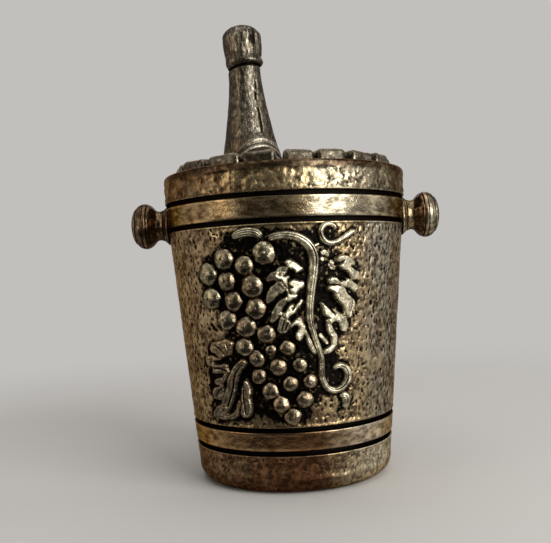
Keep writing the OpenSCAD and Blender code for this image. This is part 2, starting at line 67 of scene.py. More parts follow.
def wall_point(x, z, lift):
    """A place on the wall: x seen from the front, height z, and lift over the wall."""
    r = cone_radius(z)
    a = np.arcsin(np.clip(x / r, -1, 1))
    q = r + lift
    return np.stack([q * np.sin(a), -q * np.cos(a), z + 0 * x], axis=-1)


# Numbers that look random and come out the same each time

SCATTER = (374761393, 668265263, 2246822519)
SEED_STEP = 97463
STIR = 1274126177
LOW_32_BITS = 0xFFFFFFFF
LOW_16_BITS = 0xFFFF
# Keeps every place above 0
NOISE_ORIGIN = 1000.0


def hashed(place, seed):
    """A number from 0 to 1 for each whole place."""
    i, j, k = np.moveaxis(place.astype(np.uint64), -1, 0)
    n = i * SCATTER[0] + j * SCATTER[1] + k * SCATTER[2] + np.uint64(seed * SEED_STEP)
    n = n & LOW_32_BITS
    n = ((n ^ (n >> 13)) * STIR) & LOW_32_BITS
    return ((n ^ (n >> 16)) & LOW_16_BITS) / LOW_16_BITS


def noise(points, size, seed):
    """Smooth noise from -1 to 1 at each point, with bumps of about the given size."""
    q = np.asarray(points, float) / size + NOISE_ORIGIN
    whole = np.floor(q).astype(np.int64)
    part = q - whole
    part = part * part * (3 - 2 * part)
    total = 0.0
    for corner in np.ndindex(2, 2, 2):
        near = np.where(corner, part, 1 - part)
        total = total + hashed(whole + corner, seed) * (near[..., 0] * near[..., 1] * near[..., 2])
    return 2 * total - 1


def smooth(value, low, high):
    """0 below low, 1 above high, and a soft step between."""
    t = np.clip((value - low) / (high - low), 0, 1)
    return t * t * (3 - 2 * t)


def band(value, up_from, up_to, down_from, down_to):
    """A soft step up, and a soft step down again."""
    return smooth(value, up_from, up_to) * (1 - smooth(value, down_from, down_to))


def bell(value, middle, width):
    """1 in the middle, falling off softly to both sides."""
    return np.exp(-((value - middle) / width) ** 2)


def spots(points, fine, broad, share, seed, low, high):
    """Small spots that gather in broader patches, from 0 to 1."""
    return smooth(noise(points, fine, seed) + share * noise(points, broad, seed + 1), low, high)


def most(*values):
    """The highest of several values at each place."""
    return np.maximum.reduce(np.broadcast_arrays(*values))


def curve(places, steps):
    """A smooth curve through the places of a list."""
    p = np.asarray(places, float)
    p = np.vstack([2 * p[0] - p[1], p, 2 * p[-1] - p[-2]])
    t = np.linspace(0, 1, steps, endpoint=False)[:, None]
    rows = []
    for a, b, c, d in zip(p[:-3], p[1:-2], p[2:-1], p[3:]):
        rows.append((2 * b + (c - a) * t + (2 * a - 5 * b + 4 * c - d) * t ** 2
                     + (3 * b - a - 3 * c + d) * t ** 3) / 2)
    rows.append(p[-2][None, :])
    return np.vstack(rows)


# Meshes

def linked(name, data):
    """Puts a mesh, light or camera into the scene as a new object."""
    made = bpy.data.objects.new(name, data)
    bpy.context.scene.collection.objects.link(made)
    return made


def new_mesh(name, points, faces, material):
    """A mesh from points in millimetres."""
    mesh = bpy.data.meshes.new(name)
    mesh.from_pydata((np.asarray(points, float) * MM).tolist(), [], faces)
    mesh.materials.append(material)
    return mesh


def piece(name, points, faces, metal, body, node, cavity, wear, sharp=None):
    """One piece in place of a CAD node, riding on its body. cavity blackens it, with some painted shade, and
    wear brightens it, with some painted highlight.
    """
    mesh = new_mesh(name, points, faces, metal)
    mesh.validate()
    mesh.shade_smooth()
    if sharp:
        mesh.set_sharp_from_angle(angle=math.radians(sharp))
    for key, value in (("cavity", cavity), ("wear", wear)):
        attribute = mesh.attributes.new(key, "FLOAT", "POINT")
        attribute.data.foreach_set("value", np.asarray(value, np.float32).ravel())
    made = linked(name, mesh)
    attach(made, body)
    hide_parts(node)


def piece_of_parts(name, parts, metal, body, node):
    """One piece out of parts that each have points, faces, cavity and wear."""
    points, faces, cavity, wear = zip(*parts)
    starts = np.cumsum([0] + [len(p) for p in points]).tolist()
    moved = [[i + start for i in face] for start, part in zip(starts, faces) for face in part]
    cavity, wear = np.concatenate(cavity), np.concatenate(wear)
    piece(name, np.vstack(points), moved, metal, body, node, cavity, wear)


def ring_faces(rows, columns, wrap=True):
    """Quads between neighbouring rows of a grid, closed round the columns if wrap is set."""
    i = columns * np.arange(rows - 1)[:, None]
    j = np.arange(columns if wrap else columns - 1)[None, :]
    k = (j + 1) % columns
    quads = np.stack([i + j, i + k, i + columns + k, i + columns + j], axis=-1)
    return quads.reshape(-1, 4).tolist()


def fan(centre, ring, flip=False):
    """Triangles from one point to a closed ring of points."""
    after = ring[1:] + ring[:1]
    return [[centre, b, a] if flip else [centre, a, b] for a, b in zip(ring, after)]


def closed_faces(rows, columns, flip=False):
    """Faces of a grid closed round its columns, with fans to two more points that close its ends."""
    last, count = (rows - 1) * columns, rows * columns
    ends = fan(count, list(range(columns)), not flip) + fan(count + 1, list(range(last, count)), flip)
    return ring_faces(rows, columns) + ends


def turns(columns):
    """Angles of columns spread evenly round an axis."""
    return np.arange(columns) * 2 * np.pi / columns


def spun(profile, columns):
    """A grid of points: (radius, height) rows turned about Z."""
    rows = np.asarray(profile, float)
    turn = turns(columns)
    r, z = rows[:, :1], rows[:, 1:]
    return np.stack([r * np.cos(turn), r * np.sin(turn), z + 0 * turn], axis=-1)


def lathe(profile, columns):
    """Turns (radius, height) rows about Z. The first and last row lie on the axis."""
    grid = spun(profile[1:-1], columns)
    poles = np.array([[0, 0, profile[0][1]], [0, 0, profile[-1][1]]], float)
    return grid, closed_faces(len(grid), columns), poles


def joined(grid, poles):
    return np.vstack([grid.reshape(-1, 3), poles])


# Materials

class Paint:
    """Builds one procedural material out of nodes. Sizes of its patterns are millimetres on the piece."""

    def __init__(self, name):
        self.material = bpy.data.materials.new(name)
        self.material.use_nodes = True
        self.tree = self.material.node_tree
        self.shader = self.tree.nodes["Principled BSDF"]
        self.place = self.mapped(self.node("TexCoord")["Object"], (1 / MM, 1 / MM, 1 / MM))

    def plug(self, socket, value):
        if isinstance(value, bpy.types.NodeSocket):
            self.tree.links.new(value, socket)
        elif socket.type == "RGBA":
            socket.default_value = (*value, 1)
        else:
            socket.default_value = value

    def node(self, kind, plugs=None, **settings):
        """The outputs of a new node with these settings, and numbers or links in its inputs."""
        made = self.tree.nodes.new("ShaderNode" + kind)
        for key, value in settings.items():
            setattr(made, key, value)
        for key, value in (plugs or {}).items():
            self.plug(made.inputs[key], value)
        return made.outputs

    def mapped(self, place, scale):
        return self.node("Mapping", {"Vector": place, "Scale": scale})["Vector"]

    def noise(self, size, detail, rough=0.55, stretch=None):
        place = self.mapped(self.place, stretch) if stretch else self.place
        plugs = {"Vector": place, "Scale": 1 / size, "Detail": detail, "Roughness": rough}
        return self.node("TexNoise", plugs)["Fac"]

    def along(self, axis):
        return self.node("SeparateXYZ", {0: self.place})[axis]

    def value(self, name):
        return self.node("Attribute", attribute_name=name)["Fac"]

    def calc(self, kind, a, b):
        return self.node("Math", {0: a, 1: b}, operation=kind)[0]

    def times(self, a, b):
        return self.calc("MULTIPLY", a, b)

    def plus(self, a, b):
        return self.calc("ADD", a, b)

    def span(self, value, low, high, to_low=0.0, to_high=1.0):
        plugs = {"Value": value, "From Min": low, "From Max": high, "To Min": to_low, "To Max": to_high}
        return self.node("MapRange", plugs, interpolation_type="SMOOTHSTEP")[0]

    def mix(self, factor, a, b):
        return self.node("Mix", {0: factor, 6: a, 7: b}, data_type="RGBA")[2]

    def bump(self, height, depth):
        bumped = self.node("Bump", {"Height": height, "Strength": 1.0, "Distance": depth * MM})
        self.plug(self.shader.inputs["Normal"], bumped["Normal"])

    def finish(self, plugs):
        """The material, with numbers or links in its shader's inputs."""
        for key, value in plugs.items():
            self.plug(self.shader.inputs[key], value)
        return self.material


BLACK = (0.006, 0.005, 0.004)
EDGE_TINT = (0.52, 0.39, 0.26)
DARK_EDGE = (0.18, 0.13, 0.08)
# Sizes of patches and specks, as shares of the grain
PATCH_SIZE = 6
SPECK_SIZE = 0.22
# A tint's dark, light and worn spots, as shares of its colour, and how far it takes over the worn spots
TINT_DARK = 0.36
TINT_LIGHT = 1.6
TINT_WORN = 3.2
TINT_WORN_SHARE = 0.75
COAT_ROUGHNESS = 0.10
# Values of the patterns between which one tone turns into the next
TO_MIDDLE = (0.40, 0.56)
TO_LIGHT = (0.53, 0.68)
TO_STAIN = (0.48, 0.64)
TO_TINT = (0.32, 0.60)
TO_TINT_LIGHT = (0.38, 0.64)
TO_SPECK = (0.58, 0.74)
TO_WORN = (0.36, 0.58)
TO_HOLLOW = (0.25, 0.75)
# Least share of a tint and of wear where the pattern holds them back, and most share of the specks
LEAST_SHARE = 0.35
SPECK_SHARE = 0.35
HOLLOW_STRAY = 0.18
HOLLOW_ROUGHNESS = 0.25
MOTTLE_BUMP = 1.5


def scaled(colour, share):
    return [min(1.0, share * part) for part in colour]


def antique(name, tones, rough, grain, metal, coat=0.0, tints=(), stains=0.5, stretch=None, bumps=0.05,
            edge=EDGE_TINT):
    """Antique metal: mottled tones, a stain in large patches, black hollows and pale worn edges.

    tones are dark, middle, light and the stain. grain is the size of the mottling. metal is the bare share,
    the rest is dull patina. tints are (axis, from, to, colour): a colour that comes in along an axis, and
    along a second one if its axis, from and to follow.
    """
    dark, middle, light, stain = tones
    p = Paint(name)
    mottle = p.noise(grain, 5.0, 0.65, stretch)
    patch = p.noise(grain * PATCH_SIZE, 3.0)
    speck = p.noise(grain * SPECK_SIZE, 2.0)
    colour = p.mix(p.span(mottle, *TO_MIDDLE), dark, middle)
    colour = p.mix(p.span(mottle, *TO_LIGHT), colour, light)
    colour = p.mix(p.span(patch, *TO_STAIN, 0.0, stains), colour, stain)
    bright = light
    for axis, low, high, shade, *second in tints:
        reach = p.span(p.along(axis), low, high)
        if second:
            reach = p.times(reach, p.span(p.along(second[0]), *second[1:]))
        wander = p.times(reach, p.span(patch, *TO_TINT, LEAST_SHARE, 1.0))
        spotted = p.mix(p.span(mottle, *TO_TINT_LIGHT), scaled(shade, TINT_DARK), scaled(shade, TINT_LIGHT))
        colour = p.mix(wander, colour, spotted)
        bright = p.mix(p.times(wander, TINT_WORN_SHARE), bright, scaled(shade, TINT_WORN))
    colour = p.mix(p.span(speck, *TO_SPECK, 0.0, SPECK_SHARE), colour, bright)
    wear = p.times(p.value("wear"), p.span(mottle, *TO_WORN, LEAST_SHARE, 1.0))
    colour = p.mix(wear, colour, bright)
    hollow = p.plus(p.value("cavity"), p.span(mottle, 0.3, 0.7, -HOLLOW_STRAY, HOLLOW_STRAY))
    hollow = p.span(hollow, *TO_HOLLOW)
    colour = p.mix(hollow, colour, BLACK)
    gloss = p.plus(p.span(mottle, 0.35, 0.65, rough + 0.10, rough - 0.06), p.times(hollow, HOLLOW_ROUGHNESS))
    p.bump(p.plus(speck, p.times(mottle, MOTTLE_BUMP)), bumps)
    bare = p.calc("SUBTRACT", 1.0, hollow)
    return p.finish({
        "Base Color": colour, "Roughness": gloss, "Metallic": p.calc("MAXIMUM", hollow, metal),
        "Specular Tint": edge, "Coat Weight": p.times(bare, coat), "Coat Roughness": COAT_ROUGHNESS,
    })


METALS = {
    "wall_bronze": dict(
        tones=((0.045, 0.028, 0.014), (0.175, 0.118, 0.062), (0.54, 0.42, 0.23), (0.125, 0.064, 0.03)),
        rough=0.25, grain=1.25, metal=0.9, stains=0.75, bumps=0.035,
        tints=(
            # Darker copper toward the foot: partly the foot's copper tone, partly painted shade from the dark
            # floor in front of it.
            ("Z", 17.0, 7.0, (0.052, 0.017, 0.007)),
            ("X", 4.0, 11.0, (0.195, 0.14, 0.078), "X", 22.0, 14.0),
            ("X", 13.0, 23.0, (0.2, 0.186, 0.156)),
            ("X", -12.0, -24.0, (0.205, 0.139, 0.084)),
            ("X", 7.0, 19.0, (0.44, 0.355, 0.24), "Z", 16.0, 8.0),
            # Paler, more neutral rim right of the middle: painted highlight where the key light falls on the
            # rim.
            ("X", 0.0, 9.0, (0.145, 0.126, 0.089), "Z", 64.0, 66.0),
            # Near-black far right of the rim: painted dark reflection.
            ("X", 15.0, 21.0, (0.023, 0.017, 0.011), "Z", 65.0, 66.5),
            # Dark rust on the rim's left: partly its rust tone, partly painted shade on the side away from
            # the key light.
            ("X", -4.0, -18.0, (0.068, 0.034, 0.015), "Z", 64.0, 66.0),
            # Dark brown top of the lip: painted shade between the rim and the ice.
            ("Z", 70.1, 70.7, (0.055, 0.034, 0.02)),
            # Darker copper on the foot's middle and left: partly its copper tone, partly painted shade.
            ("Z", 11.0, 7.0, (0.07, 0.03, 0.013), "X", 12.0, 0.0),
            ("Z", 11.0, 7.0, (0.135, 0.086, 0.052), "X", -9.0, -19.0),
        ),
    ),
    "hoop_bronze": dict(
        tones=((0.075, 0.05, 0.025), (0.25, 0.185, 0.10), (0.40, 0.325, 0.19), (0.19, 0.11, 0.048)),
        rough=0.19, grain=1.7, metal=1.0, stains=0.6, stretch=(0.6, 0.6, 1.3),
        tints=(
            # Darker copper on the lower hoop: partly its copper tone, partly painted shade from the dark
            # floor it faces.
            ("Z", 24.0, 12.0, (0.14, 0.07, 0.031)),
            ("X", -4.0, -20.0, (0.30, 0.19, 0.09)),
            # Paler, more neutral upper hoop right of the middle: painted highlight where the key light falls.
            ("X", 2.0, 8.0, (0.29, 0.25, 0.175), "Z", 24.0, 40.0),
            # Darker grey-olive at the far right of both hoops: partly patina, partly painted shade.
            ("X", 16.0, 24.0, (0.16, 0.137, 0.095)),
            # Bright gold on the lower hoop right of the middle: painted highlight.
            ("X", 5.0, 16.0, (0.58, 0.47, 0.32), "Z", 24.0, 14.0),
        ),
    ),
    "knob_bronze": dict(
        tones=((0.055, 0.03, 0.014), (0.17, 0.095, 0.045), (0.48, 0.37, 0.21), (0.13, 0.065, 0.03)),
        rough=0.17, grain=1.4, metal=0.95, coat=0.2, bumps=0.03, edge=DARK_EDGE,
        tints=(
            ("X", 33.6, 35.4, (0.30, 0.275, 0.205)),
            ("X", 31.6, 30.0, (0.30, 0.235, 0.13), "X", 26.0, 28.0),
            # The whole left knob darker: painted shade on the side away from the key light.
            ("X", -20.0, -24.0, (0.095, 0.056, 0.028)),
            ("X", -34.8, -36.4, (0.18, 0.14, 0.09)),
        ),
    ),
    "grape_bronze": dict(
        tones=((0.05, 0.035, 0.019), (0.165, 0.12, 0.07), (0.53, 0.46, 0.32), (0.165, 0.09, 0.048)),
        rough=0.15, grain=0.7, metal=1.0, bumps=0.04, edge=DARK_EDGE,
        tints=(
            ("X", -12.0, -16.0, (0.20, 0.18, 0.115)),
            ("Z", 50.0, 53.0, (0.24, 0.215, 0.145), "X", -8.0, -5.0),
        ),
    ),
    "vine_bronze": dict(
        tones=((0.078, 0.06, 0.038), (0.19, 0.158, 0.104), (0.84, 0.765, 0.55), (0.155, 0.11, 0.058)),
        rough=0.22, grain=0.9, metal=0.8, coat=0.1,
    ),
    "leaf_bronze": dict(
        tones=((0.035, 0.024, 0.014), (0.135, 0.099, 0.062), (0.46, 0.39, 0.27), (0.16, 0.092, 0.042)),
        rough=0.24, grain=0.8, metal=0.85, coat=0.2, stains=0.8,
        tints=(("Z", 28.0, 31.0, (0.22, 0.145, 0.07)),),
    ),
    "dark_pewter": dict(
        tones=((0.028, 0.023, 0.015), (0.074, 0.062, 0.043), (0.24, 0.21, 0.155), (0.065, 0.047, 0.027)),
        rough=0.28, grain=1.1, metal=0.8, coat=0.15,
    ),
    "bottle_pewter": dict(
        tones=((0.027, 0.021, 0.014), (0.091, 0.077, 0.055), (0.38, 0.34, 0.26), (0.075, 0.053, 0.03)),
        rough=0.20, grain=0.5, metal=0.9, coat=0.2, stretch=(1.3, 1.3, 0.35), bumps=0.03, edge=DARK_EDGE,
        tints=(
            # Darker brown on the bottle's left side: partly its brown tone, partly painted shade away from
            # the key light.
            ("X", -8.5, -13.0, (0.075, 0.054, 0.032)),
            ("Z", 88.0, 78.0, (0.10, 0.068, 0.036), "X", -6.0, -14.0),
        ),
    ),
}


def spun_metal(name, middle, light, rough):
    """Plain turned metal with fine rings round the axis."""
    p = Paint(name)
    plugs = {"Vector": p.place, "Scale": 1.4, "Distortion": 1.5, "Detail": 3.0}
    rings = p.node("TexWave", plugs, wave_type="RINGS", rings_direction="Z")["Fac"]
    cloud = p.noise(6.0, 4.0)
    colour = p.mix(p.span(cloud, 0.35, 0.65), middle, light)
    gloss = p.span(cloud, 0.3, 0.7, rough - 0.05, rough + 0.12)
    p.bump(rings, 0.02)
    return p.finish({"Base Color": colour, "Roughness": gloss, "Metallic": 1.0})


def plate_metal():
    """Turned metal with a blackened, grainy top between the ice blocks."""
    p = Paint("plate_pewter")
    cloud = p.noise(3.0, 4.0)
    grain = p.noise(0.5, 3.0)
    turned_tone = p.mix(p.span(cloud, 0.35, 0.65), (0.06, 0.05, 0.04), (0.12, 0.10, 0.075))
    blackened = p.mix(p.span(grain, 0.45, 0.70), BLACK, (0.034, 0.028, 0.02))
    top = p.span(p.along("Z"), PLATE_TOP - 0.3, PLATE_TOP - 0.05)
    gloss = p.span(top, 0.0, 1.0, 0.40, 0.55)
    p.bump(grain, 0.1)
    colour = p.mix(top, turned_tone, blackened)
    return p.finish({"Base Color": colour, "Roughness": gloss, "Metallic": 1.0})


# The relief's places, seen from the front: x, height and radius of each grape
GRAPES = [
    (-13.25, 51.8, 2.05), (-8.85, 50.15, 1.93), (-4.7, 52.65, 2.21), (-17.1, 48.7, 2.13),
    (-12.85, 47.05, 1.89), (-7.55, 45.85, 2.21), (-16.4, 43.4, 2.21), (-11.6, 42.7, 1.95),
    (-6.95, 41, 2.05), (-13.3, 38.7, 2.05), (-9.15, 37.2, 2.05), (-4.95, 35.5, 1.91), (-9.75, 32.85, 1.84),
    (-4.25, 32.05, 1.13), (-0.65, 32.35, 1.58), (-7.2, 30.25, 1.68), (-2.75, 28.4, 1.76),
    (1.8, 28.65, 1.52), (-6.95, 26.4, 1.58), (-0.4, 24.7, 1.62), (3.8, 25.05, 1.5), (-4.6, 23.25, 1.72),
    (-2.55, 20.3, 1.76), (2.55, 21.25, 1.76), (-0.15, 17.45, 1.68),
]

# Lines of the vine: x, height and width
STEM = [
    (-3.8, 55.5, 1.26), (-2.2, 56, 1.53), (0, 56.1, 1.67), (2.2, 55.6, 1.81), (4, 54.4, 2.05), (5, 53, 2.1),
    (5.5, 51.2, 2.06), (5.4, 49.2, 2), (5.1, 47, 1.9), (4.7, 44.5, 1.74), (4.4, 42.2, 1.63),
    (4.2, 40, 1.55), (4.2, 38.3, 1.47), (4.5, 36.6, 1.35), (5.1, 34.2, 1.19), (5.7, 32.2, 1.13),
    (6.2, 30.2, 1.15), (6.3, 28.4, 1.2), (6.2, 26.7, 1.2), (6.4, 25, 1.25), (7.1, 23.5, 1.35),
    (8.3, 22.7, 1.45), (9.7, 22.7, 1.5), (11, 23.6, 1.55), (11.8, 25.2, 1.55), (11.5, 27, 1.5),
    (10.4, 27.9, 1.35), (9.3, 27.7, 1.1), (8.7, 27.1, 0.7),
]
TENDRIL = [
    (14.6, 56.8, 0.9), (13.2, 56, 1.1), (11.8, 55, 1.2), (10.4, 54.3, 1.2), (9.1, 54.1, 1.15),
    (8, 54.6, 1.1), (7.4, 55.6, 1.1), (7.2, 56.7, 1.1), (7.6, 57.6, 1.08), (8.4, 58.1, 1.02),
    (9.3, 58.1, 0.96), (10.1, 57.6, 0.85), (10.2, 56.8, 0.6),
]
STALK = [(2.8, 36.4, 0.8), (3.4, 34.8, 1.1), (4, 33, 1.35), (4.6, 31.6, 1.15), (5.3, 30.6, 0.7)]
BUD = [(10, 21.3, 1.3), (10.9, 21.2, 1.9), (11.3, 20.3, 2.0), (11.1, 19.2, 1.6), (10.5, 18.7, 0.9)]
CURL = [(-11.4, 56.2, 1.2), (-9.6, 57, 1.9), (-7.6, 57.2, 2.05), (-6, 56.8, 1.9), (-5, 55.8, 1.1)]
SPUR = [(5.4, 53.4, 0.9), (6.1, 53.8, 0.75), (6.9, 54.1, 0.5)]

# Leaves: lobes (rise, shine, outline), ridges (width, rise, shine, line) and cuts (width, line)
LEFT_LEAF_LOBES = [
    (1.6, 1, [(-0.5, 50.4), (-0.2, 50.8), (0.4, 51), (1, 50.8), (1.6, 50.4), (2.2, 49.9), (2.7, 49.4),
        (3.1, 49), (2.9, 48.75), (2.2, 48.3), (1.7, 48.4), (1.2, 48.9), (0.5, 49.1), (0.2, 49.5),
        (-0.1, 50)]),
    (1.2, 0.2, [(-4.3, 46.8), (-4, 47.7), (-3.4, 48.3), (-2.6, 48.7), (-2, 49.2), (-1.3, 49.5), (-0.5, 49.5),
        (0, 49.3), (0.05, 48.8), (-0.3, 48.6), (-1, 48.7), (-1.6, 48.6), (-1.9, 48.2), (-1.8, 47.6),
        (-2.2, 47), (-3.2, 46.9)]),
    (1.0, 0.3, [(-2.2, 48.9), (-1.2, 49.2), (-0.2, 48.9), (-0.3, 48.3), (-1, 47.9), (-2, 48)]),
    (1.45, 1, [(-2.7, 47.9), (-2.1, 48.2), (-1.8, 47.8), (-1.5, 47.6), (-1.3, 48.1), (-0.9, 48.1),
        (-1, 47.6), (-0.5, 47.3), (0.1, 47.6), (0.2, 47.3), (-0.1, 46.9), (-0.1, 46.3), (0, 45.6), (0, 45),
        (-0.4, 45), (-0.6, 45.6), (-1, 46.2), (-1.3, 46.9), (-1.8, 47), (-2.4, 47.3)]),
    (1.2, 0.25, [(-4.5, 42.1), (-4.5, 43.2), (-4.2, 44.2), (-3.8, 45), (-3.1, 45.6), (-2.5, 46.1),
        (-1.9, 46.6), (-1.2, 46.4), (-0.8, 45.6), (-0.5, 45), (-0.9, 44.3), (-1.6, 44.1), (-2.1, 44.1),
        (-2.5, 43.6), (-3.2, 42.9), (-3.9, 42.4)]),
    (1.6, 1, [(0.2, 45.7), (0.4, 46.4), (1, 46.7), (1.6, 46.6), (2.2, 46.4), (2.9, 46.2), (3.2, 45.9),
        (3.1, 45.2), (2.8, 44.9), (2.4, 44.7), (2, 44.2), (1.6, 43.8), (1, 43.9), (0.4, 44.3), (0.3, 44.9),
        (0.6, 45.2)]),
    (1.3, 0.9, [(-0.5, 44.8), (-0.1, 44.9), (0.1, 44.3), (0.3, 43.8), (0.9, 43.6), (1.8, 43.5), (1.6, 43.1),
        (0.9, 42.7), (0.3, 42.4), (-0.3, 42.2), (-0.3, 43), (-0.3, 43.8)]),
    (1.15, 0.25, [(-3.9, 38.1), (-3.7, 39.2), (-3.3, 40.4), (-2.8, 41.3), (-2.3, 41.9), (-1.7, 42.4),
        (-1, 42.9), (-0.4, 43.3), (-0.2, 42.6), (-0.7, 42), (-1.2, 41.3), (-1.6, 40.5), (-2.1, 39.9),
        (-2.3, 39.1), (-2.9, 38.5), (-3.4, 38)]),
    (1.5, 1, [(-1.2, 39.6), (-0.7, 40.1), (-0.2, 40.8), (0.3, 41.4), (0.8, 41.6), (1.3, 41.2), (1.8, 41.6),
        (2.3, 42.2), (2.7, 42.4), (2.75, 41.9), (2.3, 41.3), (1.8, 40.8), (1.5, 40.2), (1.2, 39.8),
        (0.6, 39.5), (0, 39.3), (-0.2, 38.8), (-0.5, 38.6), (-0.9, 38.9)]),
    (1, 0.3, [(-2.4, 36.1), (-2.3, 37.3), (-1.9, 38.6), (-1.6, 39), (-1.1, 38.7), (-0.5, 38.4), (0.1, 37.8),
        (0.3, 37.1), (-0.3, 36.4), (-0.9, 35.8), (-1.5, 35.7), (-2, 35.7)]),
    (1.45, 1, [(0.2, 37.3), (0.8, 37.9), (1.3, 38.4), (1.9, 38.7), (2.3, 38.6), (2.6, 38), (2.9, 37.2),
        (3.15, 36.4), (3.1, 35.6), (2.8, 35), (2.4, 34.3), (2, 33.8), (1.5, 34), (1.2, 34.6), (1.2, 35.4),
        (1.6, 35.8), (1.9, 36.5), (1.8, 37), (1.3, 37.3), (0.7, 37.1), (0.3, 36.8)]),
]
LEFT_LEAF_RIDGES = [
    (0.6, 0.9, 0.9, [(-2.2, 39.8), (-1.9, 39.7)]),
    (0.5, 0.8, 0.7, [(-3.7, 38.2), (-3.3, 38.4)]),
]
LEFT_LEAF_CUTS = [
    (0.3, [(0, 45.9), (0.35, 45.4), (0.8, 45.1)]),
    (0.3, [(0.7, 40.4), (1.1, 41), (1.2, 41.6)]),
    (0.3, [(-1.8, 36), (-1.3, 37.4), (-1, 38.3)]),
    (0.3, [(-1, 36), (-0.7, 37), (-0.3, 37.7)]),
]

RIGHT_LEAF_LOBES = [
    (1.6, 1, [(9.7, 50.5), (10.1, 51.2), (10.8, 51.5), (11.9, 51.3), (13, 50.9), (13.8, 50.3), (14.15, 49.6),
        (13.9, 49.1), (13.25, 49.1), (13.7, 48.5), (14.5, 48.1), (15, 47.7), (15.05, 47), (14.6, 46.3),
        (13.7, 46.2), (13.1, 46.6), (12.9, 47.3), (12.3, 47.9), (11.5, 48.5), (10.8, 48.8), (10.4, 49.3),
        (10.9, 49.8), (10.3, 50.1)]),
    (1.4, 0.9, [(8.1, 46.3), (8.5, 46.8), (9.2, 46.9), (9.9, 46.6), (10.4, 46), (10.8, 45.8), (11.3, 46.1),
        (11.8, 46.4), (12.4, 46.5), (13, 46.2), (13.6, 45.7), (14.2, 45.3), (14.7, 44.8), (14.75, 44.1),
        (14.4, 43.6), (14, 43.5), (13.7, 43.9), (13.3, 44.3), (12.6, 44.6), (11.8, 44.7), (11.2, 44.9),
        (10.4, 45.2), (9.4, 45.4), (8.4, 45.5)]),
    (1.65, 1, [(7.9, 44.6), (8.4, 45.1), (9.4, 45.2), (10.4, 45.1), (11.2, 44.8), (11.6, 44.2), (11.9, 43.5),
        (12.4, 42.9), (13, 42.3), (13.6, 41.8), (13.9, 41.2), (13.9, 40.5), (13.6, 40), (13.2, 39.5),
        (13.1, 38.7), (12.9, 38.2), (12.4, 38), (11.9, 38.2), (11.6, 38.8), (11.4, 39.6), (11, 40.5),
        (10.6, 41), (10, 41.7), (9.5, 42.4), (9.2, 43), (9.2, 43.5), (8.8, 43.9), (8.1, 44.1)]),
    (1.4, 0.95, [(6.3, 41.6), (6.8, 41.6), (7.3, 41.1), (7.9, 40.4), (8.4, 39.8), (8.7, 39.5), (8.9, 40.2),
        (9.4, 40), (10, 39.5), (10.7, 39), (11.4, 38.6), (11.9, 38), (12.2, 37.3), (12.3, 36.4),
        (12.1, 35.7), (11.5, 35.2), (10.9, 35.4), (10.6, 36), (10.4, 36.6), (10, 37.2), (9.4, 37.5),
        (8.7, 37.4), (8.3, 37), (7.9, 37.1), (7.6, 37.7), (7.7, 38.4), (7.2, 38.9), (6.9, 39.3), (6.8, 40.2),
        (6.6, 40.9)]),
]
RIGHT_LEAF_RIDGES = [
    (0.8, 0.5, 0.0, [(8.9, 49.5), (9.3, 49.1), (9.8, 48.9)]),
    (1.05, 1.2, 0.7, [(7.9, 37.7), (8, 36.9), (8.1, 36.1), (8.5, 35.3), (9, 34.4), (9.1, 33.5), (8.9, 32.6),
        (8.3, 31.8), (7.5, 31.3), (6.9, 31.1)]),
    (0.45, 0.8, 0.9, [(6.1, 34.8), (6.8, 33.9), (7.6, 33)]),
    (0.8, 0.8, 0.9, [(7.3, 52.1), (7.8, 52.2), (8.4, 51.7)]),
    (0.6, 0.7, 0.9, [(7.1, 50.9), (7.25, 50.7)]),
    (0.6, 0.6, 0.4, [(9.1, 50.2), (9.4, 49.7)]),
]
RIGHT_LEAF_CUTS = [
    (0.5, [(15.2, 48.2), (14.3, 48.6), (13.2, 49.1)]),
    (0.55, [(10.2, 48.7), (11.2, 47.8), (12.9, 46.5)]),
    (0.8, [(9.9, 47.4), (10.8, 46.9), (11.7, 46.3)]),
    (0.32, [(10.1, 49.6), (10.7, 49.9), (11.3, 50.3)]),
    (0.22, [(8, 45.35), (9.4, 45.35), (10.6, 45)]),
    (0.4, [(8.2, 40.5), (8.7, 39.8), (9.3, 39.1)]),
    (0.2, [(7.2, 38.4), (8.1, 38.3)]),
    (0.25, [(13.3, 41.6), (13, 40.2), (12.6, 39.4)]),
]

